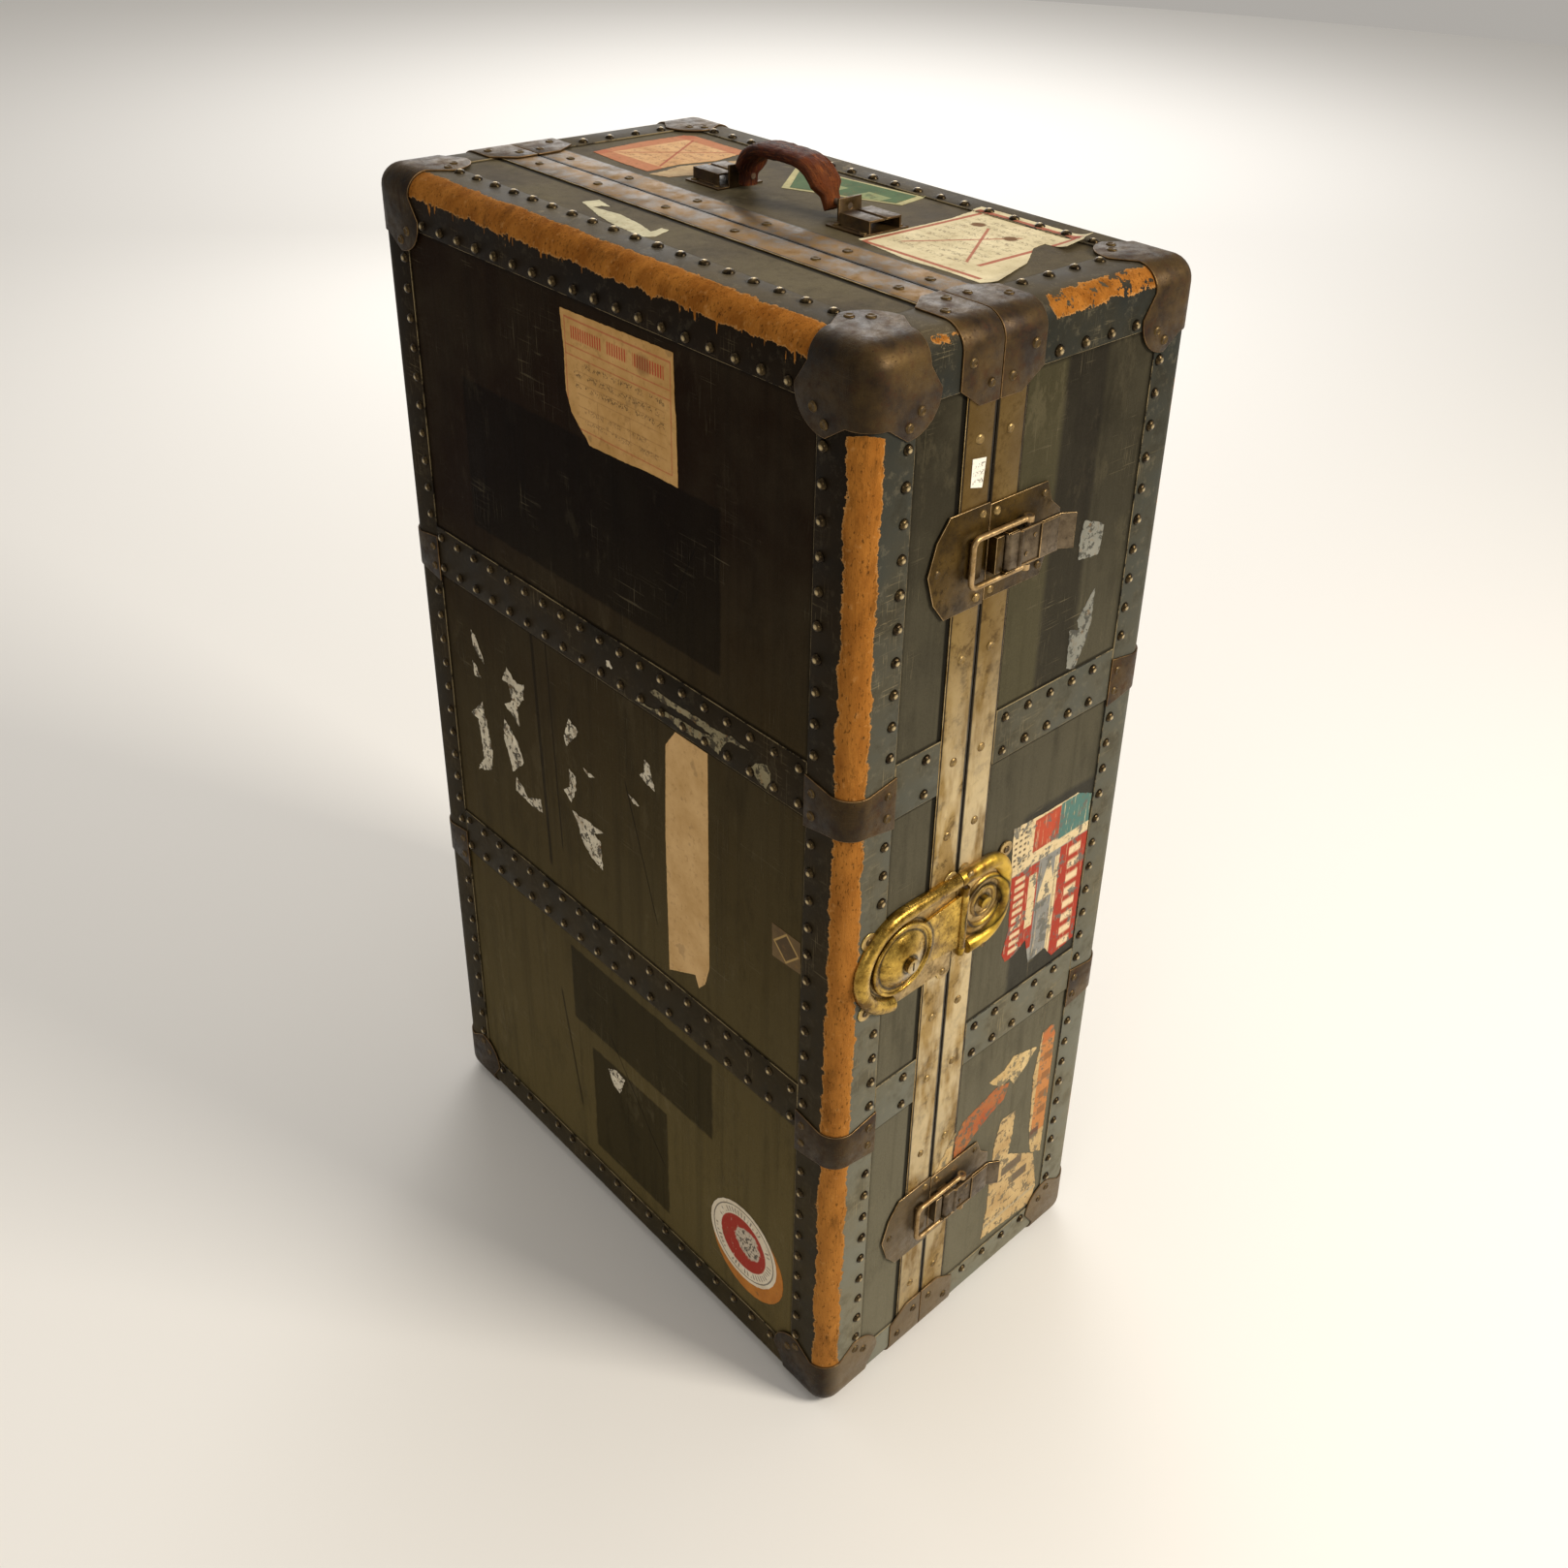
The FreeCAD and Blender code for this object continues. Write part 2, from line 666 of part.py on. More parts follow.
corner_x = body_ring_reach - body_ring_corner
upper_y = lid_ring_radius - body_ring_corner
lower_y = body_ring_corner - body_ring_drop
body_roll = roll([line((half_gap, lid_ring_radius), (corner_x, lid_ring_radius)),
                  turn((corner_x, upper_y), body_ring_corner, 90, 0),
                  line((body_ring_reach, upper_y), (body_ring_reach, lower_y)),
                  turn((corner_x, lower_y), body_ring_corner, 0, -90),
                  line((corner_x, -body_ring_drop), (corner_x / 2, -body_ring_drop))],
                 (half_gap, lid_ring_radius), Vector(1, 0, 0))
body_low = -body_ring_drop - lock_plate_margin
body_plate = [box(half_gap, corner_x, body_low, lock_plate_half, 0, lock_plate_thickness),
              box(corner_x, body_ring_reach + lock_plate_margin, lower_y, upper_y, 0, lock_plate_thickness),
              Part.makeCylinder(body_ring_corner + lock_plate_margin, lock_plate_thickness,
                                Vector(corner_x, upper_y, 0)),
              Part.makeCylinder(body_ring_corner + lock_plate_margin, lock_plate_thickness,
                                Vector(corner_x, lower_y, 0)),
              body_roll]
boss_y = (lid_ring_radius - body_ring_drop) / 2
boss_centre = Vector(body_boss_place, boss_y, lock_plate_thickness)
root_half = hasp_root_width / 2
barrel_room = cylinder(hasp_barrel_radius + hasp_barrel_room,
                       Vector(hasp_axis_place, -root_half - hasp_barrel_room, hasp_axis_height),
                       Vector(hasp_axis_place, root_half + hasp_barrel_room, hasp_axis_height))
for radius, wire in ((body_boss_radius, body_boss_wire), (body_bead_radius, body_bead_wire)):
    body_plate.append(Part.makeTorus(radius, wire, boss_centre).cut(below(0)).cut(barrel_room))
body_plate.append(Part.makeCylinder(body_hub_radius, lock_plate_thickness + body_hub_height,
                                    Vector(body_boss_place, boss_y, 0)))
body_lugs = [(lug_lean, lock_plate_half), (body_ring_reach, lock_plate_half - lock_lug_radius / 2),
             (corner_x, body_low)]
for x, y in body_lugs:
    body_plate.append(Part.makeCylinder(lock_lug_radius, lock_plate_thickness, Vector(x, y, 0)))
for y_side in (-1, 1):
    near = y_side * (root_half + hasp_ear_gap)
    far = y_side * (root_half + hasp_ear_gap + hasp_ear_length)
    body_plate.append(cylinder(hasp_barrel_radius, Vector(hasp_axis_place, near, hasp_axis_height),
                               Vector(hasp_axis_place, far, hasp_axis_height)))
    body_plate.append(box(hasp_axis_place - hasp_barrel_radius, hasp_axis_place + hasp_barrel_radius,
                          near, far, 0, hasp_axis_height))
ear_end = root_half + hasp_ear_gap + hasp_ear_length
pin_channel = cylinder(hasp_pin_radius + pin_clearance,
                       Vector(hasp_axis_place, -ear_end - pin_clearance, hasp_axis_height),
                       Vector(hasp_axis_place, ear_end + pin_clearance, hasp_axis_height))
keep("body_lock_plate", on_front(fuse(body_plate).cut(pin_channel), lock_level))
hasp_pin = cylinder(hasp_pin_radius, Vector(hasp_axis_place, -ear_end, hasp_axis_height),
                    Vector(hasp_axis_place, ear_end, hasp_axis_height))
keep("hasp_pin", on_front(hasp_pin, lock_level))

# Hasp: a hinged tongue that ends in the round lock housing, which holds the key plug

hasp_back = lock_plate_thickness + hasp_lift
hasp_face = hasp_back + hasp_thickness
neck_half = hasp_neck_width / 2
dome_ball = (hasp_dome_radius ** 2 + hasp_dome_height ** 2) / (2 * hasp_dome_height)
dome_cut = math.degrees(math.asin((dome_ball - hasp_dome_height) / dome_ball))
disc_centre = Vector(-lid_ring_place, 0, hasp_back)
tongue = plate([(hasp_axis_place, -root_half), (hasp_axis_place, root_half),
                (-lid_ring_place, neck_half), (-lid_ring_place, -neck_half)], hasp_thickness)
tongue.translate(Vector(0, 0, hasp_back))
dome = Part.makeSphere(dome_ball, Vector(-lid_ring_place, 0, hasp_face + hasp_dome_height - dome_ball),
                       Vector(0, 0, 1), dome_cut, 90, 360)
rim = Part.makeTorus(hasp_disc_radius - hasp_rim_wire, hasp_rim_wire,
                     Vector(-lid_ring_place, 0, hasp_face))
rim = rim.cut(below(hasp_back))
hasp_bore = cylinder(hasp_pin_radius + pin_clearance, Vector(hasp_axis_place, -ear_end, hasp_axis_height),
                     Vector(hasp_axis_place, ear_end, hasp_axis_height))
barrel = cylinder(hasp_barrel_radius, Vector(hasp_axis_place, -root_half, hasp_axis_height),
                  Vector(hasp_axis_place, root_half, hasp_axis_height))
disc = Part.makeCylinder(hasp_disc_radius, hasp_thickness, disc_centre)
housing = fuse([tongue, disc, rim, dome, barrel])
plug_bore = Part.makeCylinder(key_plug_radius + key_plug_clearance, overrun, disc_centre)
flange_room = Part.makeCylinder(key_flange_radius + key_flange_play,
                                key_flange_thickness + key_flange_play * 2, disc_centre)
keep("hasp", on_front(housing.cut(hasp_bore).cut(plug_bore).cut(flange_room), lock_level))

plug_back = hasp_back + key_flange_play
plug_face = hasp_face + hasp_dome_height + key_plug_proud
plug_centre = Vector(-lid_ring_place, 0, plug_back)
plug = fuse([Part.makeCylinder(key_plug_radius, plug_face - plug_back, plug_centre),
             Part.makeCylinder(key_flange_radius, key_flange_thickness, plug_centre)])
slot = box(-lid_ring_place - key_slot_width / 2, -lid_ring_place + key_slot_width / 2,
           -key_slot_length / 2, key_slot_length / 2, plug_face - key_slot_depth, plug_face + overrun)
keep("key_plug", on_front(plug.cut(slot), lock_level))

# Draw bolts: a catch plate on the lid, and a base, lever and bail on the body


def tapered_outline(edge_x, reach, half_height, shares):
    """An outline from a straight edge at the seam to a shaped end."""
    shaped = [(reach * x_share, half_height * y_share) for x_share, y_share in shares]
    return [(edge_x, half_height)] + shaped + [(edge_x, -half_height)]


catch_outline = tapered_outline(-half_gap, -catch_reach, catch_half_height, catch_outline_shares)
base_outline = tapered_outline(half_gap, base_reach, base_half_height, base_outline_shares)
catch = plate(catch_outline, bolt_plate_thickness)
hook = box(-catch_hook_far, -catch_hook_near, -catch_hook_half_width, catch_hook_half_width,
           bolt_plate_thickness, catch_hook_height)
base = plate(base_outline, bolt_plate_thickness)
stop = box(stop_near, stop_far, -lever_half_width, lever_half_width, bolt_plate_thickness, stop_height)
ear_inner = lever_half_width + ear_clearance
ear_outer = ear_inner + ear_thickness


def across(radius, place, half_length):
    """A round bar across a draw bolt, level with the lever's pin."""
    return cylinder(radius, Vector(place, -half_length, lever_axis_height),
                    Vector(place, half_length, lever_axis_height))


lever_bore = across(lever_pin_radius + pin_clearance, lever_axis_place, trunk_width)
ears = []
for y_side in (-1, 1):
    ear = box(lever_axis_place - ear_length / 2, lever_axis_place + ear_length / 2,
              y_side * ear_inner, y_side * ear_outer, bolt_plate_thickness, ear_top)
    ears.append(ear.cut(lever_bore))
lever_pin = across(lever_pin_radius, lever_axis_place, ear_outer)

plate_top = lever_axis_height + lever_barrel_radius
finger_angle = math.radians(finger_lift_degrees)
finger_rise = finger_length * math.sin(finger_angle)
finger_run = finger_length * math.cos(finger_angle)
lever_side = [Vector(lever_axis_place, -lever_half_width, plate_top),
              Vector(lever_reach, -lever_half_width, plate_top),
              Vector(lever_reach + finger_run, -lever_half_width, plate_top + finger_rise),
              Vector(lever_reach + finger_run, -lever_half_width,
                     plate_top + finger_rise - lever_plate_thickness),
              Vector(lever_reach, -lever_half_width, plate_top - lever_plate_thickness),
              Vector(lever_axis_place, -lever_half_width, plate_top - lever_plate_thickness)]
lever_pieces = [prism(lever_side, Vector(0, lever_half_width * 2, 0))]
for place in (lever_axis_place, bail_axis_place):
    lever_pieces.append(across(lever_barrel_radius, place, lever_half_width))
bail_bore = across(bail_pin_radius + pin_clearance, bail_axis_place, trunk_width)
lever = fuse(lever_pieces).cut(lever_bore).cut(bail_bore)

arm_y = ear_outer + bail_clearance + bail_wire_radius
bend = bail_corner_radius
bend_middle = bend * (1 - math.sin(math.radians(45)))


def bail_point(x, y):
    """A point of the bail's wire, level with its pin."""
    return Vector(x, y, lever_axis_height)


bail_path = Part.Wire([
    Part.LineSegment(bail_point(bail_axis_place, -arm_y), bail_point(bend - bail_far, -arm_y)).toShape(),
    Part.Arc(bail_point(bend - bail_far, -arm_y), bail_point(bend_middle - bail_far, bend_middle - arm_y),
             bail_point(-bail_far, bend - arm_y)).toShape(),
    Part.LineSegment(bail_point(-bail_far, bend - arm_y), bail_point(-bail_far, arm_y - bend)).toShape(),
    Part.Arc(bail_point(-bail_far, arm_y - bend), bail_point(bend_middle - bail_far, arm_y - bend_middle),
             bail_point(bend - bail_far, arm_y)).toShape(),
    Part.LineSegment(bail_point(bend - bail_far, arm_y), bail_point(bail_axis_place, arm_y)).toShape()])
bail_start = bail_point(bail_axis_place, -arm_y)
bail_ring = Part.Wire(Part.makeCircle(bail_wire_radius, bail_start, Vector(-1, 0, 0)))
bail_pieces = [bail_path.makePipeShell([bail_ring], True, False)]
for y_side in (-1, 1):
    eye_start = bail_point(bail_axis_place, y_side * (arm_y - bail_wire_radius))
    eye_end = bail_point(bail_axis_place, y_side * (arm_y + bail_wire_radius))
    bail_pieces.append(cylinder(bail_eye_radius, eye_start, eye_end))
bail = fuse(bail_pieces).cut(bail_bore)
bail_pin = across(bail_pin_radius, bail_axis_place, arm_y + bail_wire_radius)

bolt_levels = [level_at(share) for share in bolt_level_shares]
keep("lid_catch_plates", [on_front(catch, level) for level in bolt_levels])
keep("lid_catch_hooks", [on_front(hook, level) for level in bolt_levels])
keep("bolt_bases", [on_front(base, level) for level in bolt_levels])
keep("bolt_stops", [on_front(stop, level) for level in bolt_levels])
keep("bolt_ears", [on_front(ear, level) for level in bolt_levels for ear in ears])
keep("lever_pins", [on_front(lever_pin, level) for level in bolt_levels])
for name, level in zip(("lower", "upper"), bolt_levels):
    keep(name + "_lever", on_front(lever, level))
    keep(name + "_bail", on_front(bail, level))
    keep(name + "_bail_pin", on_front(bail_pin, level))

# Leather handle: a strap bent into an arch, rocking on a pin at each foot

cover_level = top_level - binding_thickness
foot_level = cover_level + handle_foot_height
crown_level = cover_level + handle_top_height
pivot_level = cover_level + handle_axis_height


def rounded_corner(before, corner, after, radius):
    """Where a bend of this radius leaves and meets two straight runs, with its middle."""
    into = (before - corner).normalize()
    out = (after - corner).normalize()
    half_angle = math.acos(into.dot(out)) / 2
    reach = radius / math.tan(half_angle)
    bisector = (into + out).normalize()
    middle = corner + bisector * (radius / math.sin(half_angle) - radius)
    return corner + into * reach, middle, corner + out * reach


strap_start = foot_level - strap_thickness
near_foot = Vector(handle_place, -handle_near_foot, strap_start)
near_shoulder = Vector(handle_place, -handle_near_shoulder, crown_level)
far_shoulder = Vector(handle_place, handle_far_foot, crown_level)
far_foot = Vector(handle_place, handle_far_foot, strap_start)
near_in, near_mid, near_out = rounded_corner(near_foot, near_shoulder, far_shoulder, handle_near_bend)
far_in, far_mid, far_out = rounded_corner(near_shoulder, far_shoulder, far_foot, handle_far_bend)
strap_path = Part.Wire([Part.LineSegment(near_foot, near_in).toShape(),
                        Part.Arc(near_in, near_mid, near_out).toShape(),
                        Part.LineSegment(near_out, far_in).toShape(),
                        Part.Arc(far_in, far_mid, far_out).toShape(),
                        Part.LineSegment(far_out, far_foot).toShape()])


def strap_section(half_x, half_y, radius):
    """The strap's rounded section, drawn about zero in the XY plane."""
    inset = radius * (1 - math.sin(math.radians(45)))
    edges = []
    for x_side, y_side in ((1, 1), (-1, 1), (-1, -1), (1, -1)):
        on_side = Vector(x_side * half_x, y_side * (half_y - radius), 0)
        on_top = Vector(x_side * (half_x - radius), y_side * half_y, 0)
        middle = Vector(x_side * (half_x - inset), y_side * (half_y - inset), 0)
        edges.append(Part.Arc(on_side, middle, on_top).toShape())
    for sign in (1, -1):
        edges.append(Part.LineSegment(Vector(sign * half_x, radius - half_y, 0),
                                      Vector(sign * half_x, half_y - radius, 0)).toShape())
        edges.append(Part.LineSegment(Vector(radius - half_x, sign * half_y, 0),
                                      Vector(half_x - radius, sign * half_y, 0)).toShape())
    return Part.Wire(Part.__sortEdges__(edges))


heading = (near_shoulder - near_foot).normalize()
section = strap_section(strap_width / 2, strap_thickness / 2, strap_corner)
square_on = FreeCAD.Rotation(Vector(1, 0, 0), Vector(0, -1, 0), heading, "ZXY")
section.Placement = FreeCAD.Placement(near_foot, square_on)
strap = strap_path.makePipeShell([section], True, False)

# The strap's feet are cut level and narrow, so that it can fold down to either side

strap = strap.cut(box(-trunk_width, trunk_width, -trunk_width, trunk_width, base_level, foot_level))
foot_x = strap_foot_width / 2
for x_side in (-1, 1):
    flare = [(foot_x, cover_level - overrun), (foot_x, pivot_level + strap_neck_rise),
             (strap_width / 2, pivot_level + strap_flare_rise), (strap_width, pivot_level + strap_flare_rise),
             (strap_width, cover_level - overrun)]
    strap = strap.cut(prism([Vector(handle_place + x_side * x, -half_width, z) for x, z in flare],
                            Vector(0, trunk_width, 0)))
strap_bore = cylinder(handle_pin_radius + pin_clearance, Vector(handle_place, -half_width, pivot_level),
                      Vector(handle_place, half_width, pivot_level))
keep("handle_strap", strap.cut(strap_bore))

pins = []
brackets = []
for y_side, foot_y in ((-1, handle_near_foot), (1, handle_far_foot)):
    ear_y = foot_y + strap_thickness / 2 + bracket_side_gap
    back_y = ear_y + bracket_ear_thickness
    far_y = ear_y + bracket_length
    pin_start = Vector(handle_place, y_side * (foot_y - strap_thickness / 2), pivot_level)
    pins.append(cylinder(handle_pin_radius, pin_start, Vector(handle_place, y_side * back_y, pivot_level)))
    base_plate = box(handle_place - bracket_width / 2, handle_place + bracket_width / 2, y_side * ear_y,
                     y_side * far_y, cover_level, cover_level + bracket_plate_thickness)
    ear = box(handle_place - bracket_ear_width / 2, handle_place + bracket_ear_width / 2, y_side * ear_y,
              y_side * back_y, cover_level, cover_level + bracket_ear_top)
    tunnel_y = ear_y + tunnel_setback
    outside = box(handle_place - tunnel_width / 2, handle_place + tunnel_width / 2, y_side * tunnel_y,
                  y_side * (far_y - tunnel_wall), cover_level, cover_level + tunnel_height)
    room = tunnel_width / 2 - tunnel_wall
    inside = box(handle_place - room, handle_place + room,
                 y_side * (tunnel_y - overrun), y_side * (far_y + overrun),
                 cover_level + bracket_plate_thickness, cover_level + tunnel_height - tunnel_wall)
    loop = outside.cut(inside)
    brackets.append(fuse([base_plate, ear, loop]).cut(strap_bore))
keep("handle_pins", pins)
keep("handle_brackets", brackets)

# Cleats that carry the tray, and the tray itself

floor_x = tray_setback + tray_depth
cleat_x = floor_x + tray_seat_gap
cleat_y = half_width - cavity_inset
cleats = []
for end_side, level in ends:
    inner = level - end_side * cavity_inset
    cleats.append(box(cleat_x, cleat_x + cleat_size, -cleat_y, cleat_y, inner, inner - end_side * cleat_size))
keep("tray_cleats", cleats)

tray_y = half_width - cavity_inset - tray_side_clearance
tray_low = base_level + cavity_inset + tray_seat_gap
tray_high = top_level - cavity_inset - tray_top_clearance
keep("tray_floor", box(floor_x - tray_board, floor_x, -tray_y, tray_y, tray_low, tray_high))
rim_x = tray_setback
back_x = floor_x - tray_board
inner_low = tray_low + tray_board
inner_high = tray_high - tray_board
keep("tray_end_walls", [box(rim_x, back_x, -tray_y, tray_y, tray_low, inner_low),
                        box(rim_x, back_x, -tray_y, tray_y, inner_high, tray_high)])
keep("tray_side_walls", [box(rim_x, back_x, -tray_y, tray_board - tray_y, inner_low, inner_high),
                         box(rim_x, back_x, tray_y - tray_board, tray_y, inner_low, inner_high)])
divider_level = inner_low + tray_divider_share * (inner_high - inner_low)
keep("tray_divider", box(rim_x + tray_board, back_x, tray_board - tray_y, tray_y - tray_board,
                         divider_level - tray_board / 2, divider_level + tray_board / 2))
pulls = []
for end_side, level in ((-1, inner_low), (1, inner_high)):
    pulls.append(box(rim_x, rim_x + pull_length, -pull_width / 2, pull_width / 2, level,
                     level - end_side * pull_thickness))
keep("tray_pulls", pulls)

# The origin is the middle of the foot of everything that stands out

front_reach = half_width + plug_face
finger_reach = half_width + plate_top + finger_rise
back_reach = half_width + hinge_axis_height + hinge_barrel_radius
shift = Vector((lid_depth - body_depth) / 2, (max(front_reach, finger_reach) - back_reach) / 2, 0)
print("origin shift", shift.x, shift.y, "hinge axis y", half_width + hinge_axis_height + shift.y)
print("lock and bolt levels", lock_level, bolt_levels, "handle axis", handle_place + shift.x, pivot_level)

os.makedirs("parts", exist_ok=True)
for name, pieces in nodes.items():
    for piece in pieces:
        piece.translate(shift)
    shape = pieces[0] if len(pieces) == 1 else Part.makeCompound(pieces)
    shape.exportStep("parts/" + name + ".step")
    print(name, len(shape.Solids), "solids", round(shape.Volume), "mm3", shape.isValid())
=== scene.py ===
# %% [markdown]
# # A flat steamer trunk, standing on its end
# The shapes come from a CAD model. This script dresses them: it paints the fibre, tarnishes
# the metal, sets the nails, wraps the handle in leather and pastes on the old labels.
# Everything is in metres, and every piece stays where the CAD model has it.

# %% Load the CAD model
import json
import math

import bmesh
import bpy
import numpy as np
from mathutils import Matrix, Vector, noise
from mathutils.bvhtree import BVHTree


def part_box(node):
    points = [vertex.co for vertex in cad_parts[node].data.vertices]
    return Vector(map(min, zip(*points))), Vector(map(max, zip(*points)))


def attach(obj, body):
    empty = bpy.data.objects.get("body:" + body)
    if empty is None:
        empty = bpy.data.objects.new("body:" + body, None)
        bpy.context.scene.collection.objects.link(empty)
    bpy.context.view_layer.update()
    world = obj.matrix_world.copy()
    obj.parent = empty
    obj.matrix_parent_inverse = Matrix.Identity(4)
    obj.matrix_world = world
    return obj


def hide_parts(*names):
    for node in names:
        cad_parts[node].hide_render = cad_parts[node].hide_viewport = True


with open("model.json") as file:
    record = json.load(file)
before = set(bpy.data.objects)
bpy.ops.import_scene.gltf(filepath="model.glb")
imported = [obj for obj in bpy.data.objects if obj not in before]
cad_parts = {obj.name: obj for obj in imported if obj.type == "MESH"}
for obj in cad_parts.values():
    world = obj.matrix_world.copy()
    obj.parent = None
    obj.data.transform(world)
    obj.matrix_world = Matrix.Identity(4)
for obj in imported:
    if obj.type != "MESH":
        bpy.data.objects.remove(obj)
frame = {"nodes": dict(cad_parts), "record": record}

nodes = frame["nodes"]
bodies = frame["record"]["behaviour"]["bodies"]
body_of_node = {node: body for body, members in bodies.items() for node in members}
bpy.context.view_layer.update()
mm = 0.001

# %% [markdown]
# ## Camera
# A camera was fitted to the trunk's straight edges in the photograph. It looks down on the
# corner between the broad side of the lid and the narrow side with the lock. The small shift
# slides the picture on the sensor, so that the upright edges lean as they do in the photograph.

# %% Camera
camera_place = (-0.80994, -0.91548, 1.33930)
camera_turn = (61.0975, -2.3580, -44.4171)
sensor_width, focal_length = 36.0, 35.857
sensor_shift = (-0.05083, -0.11461)
camera = bpy.data.objects.new("camera", bpy.data.cameras.new("camera"))
bpy.context.scene.collection.objects.link(camera)
camera.location = camera_place
camera.rotation_euler = [math.radians(angle) for angle in camera_turn]
camera.data.sensor_width = sensor_width
camera.data.lens = focal_length
camera.data.shift_x, camera.data.shift_y = sensor_shift
bpy.context.scene.camera = camera
print("camera at", camera_place)

# %% [markdown]
# ## Studio
# A wide pale floor and soft light, as for a catalogue picture. The warm key light stands in
# front of the lock side, so that the broad side of the lid falls into shade, as in the
# photograph. A weak lamp on the left and one behind keep the shaded sides readable, one above
# lights the top, and the last one brightens the floor behind the trunk.


# %% Floor
def new_piece(name, shape, *finishes):
    """A new object from a bmesh, with its finishes in order."""
    mesh = bpy.data.meshes.new(name)
    shape.to_mesh(mesh)
    shape.free()
    for finish in finishes:
        mesh.materials.append(finish)
    return bpy.data.objects.new(name, mesh)


floor_radius = 9.0
floor_paint = bpy.data.materials.new("pale floor")
floor_paint.use_nodes = True
floor_look = floor_paint.node_tree.nodes["Principled BSDF"].inputs
floor_look["Base Color"].default_value = (0.82, 0.81, 0.79, 1)
floor_look["Roughness"].default_value = 0.9
circle = bmesh.new()
bmesh.ops.create_circle(circle, cap_ends=True, radius=floor_radius, segments=96)
floor = new_piece("floor", circle, floor_paint)
bpy.context.scene.collection.objects.link(floor)

# %% Lamps
world = bpy.data.worlds.new("soft room")
world.use_nodes = True
sky = world.node_tree.nodes["Background"].inputs
sky["Color"].default_value = (1.0, 0.95, 0.88, 1)
sky["Strength"].default_value = 0.42
bpy.context.scene.world = world
bpy.context.scene.view_settings.view_transform = "Standard"


def lamp(name, place, aim, size, power, colour):
    """A soft square lamp at a place, turned to face a point."""
    data = bpy.data.lights.new(name, "AREA")
    data.size, data.energy, data.color = size, power, colour
    light = bpy.data.objects.new(name, data)
    light.location = place
    light.rotation_euler = (Vector(aim) - Vector(place)).to_track_quat("-Z", "Y").to_euler()
    bpy.context.scene.collection.objects.link(light)


middle = (0, 0, 0.5)
lamp("key", (1.0, -2.5, 2.3), middle, 0.9, 95, (1.0, 0.92, 0.80))
lamp("left fill", (-2.6, -1.4, 1.4), middle, 0.7, 8, (1.0, 0.92, 0.80))
lamp("overhead", (0.2, 0.6, 3.2), middle, 2.0, 16, (1.0, 0.93, 0.84))
lamp("back fill", (1.8, 2.4, 1.6), middle, 2.0, 18, (1.0, 0.97, 0.93))
lamp("floor wash", (3.6, 3.6, 2.6), (3.6, 3.6, 0), 3.5, 105, (1.0, 0.98, 0.95))

# %% [markdown]
# ## A short way to write materials
# Blender's materials are graphs of nodes. The class below makes a node with one short call,
# and takes a number, a colour such as "#a0793c" or another node's output as a value. All
# patterns read Object coordinates, which are metres here, so a grain of 0.002 is 2 mm on the
# real trunk.

# %% Material helper
def paint(code):
    """A colour written as on a paint chip, in the linear values that Blender wants."""
    parts = [int(code[start:start + 2], 16) / 255 for start in (1, 3, 5)]
    return (*[v / 12.92 if v <= 0.04045 else ((v + 0.055) / 1.055) ** 2.4 for v in parts], 1.0)


soot_colour = "#050403"


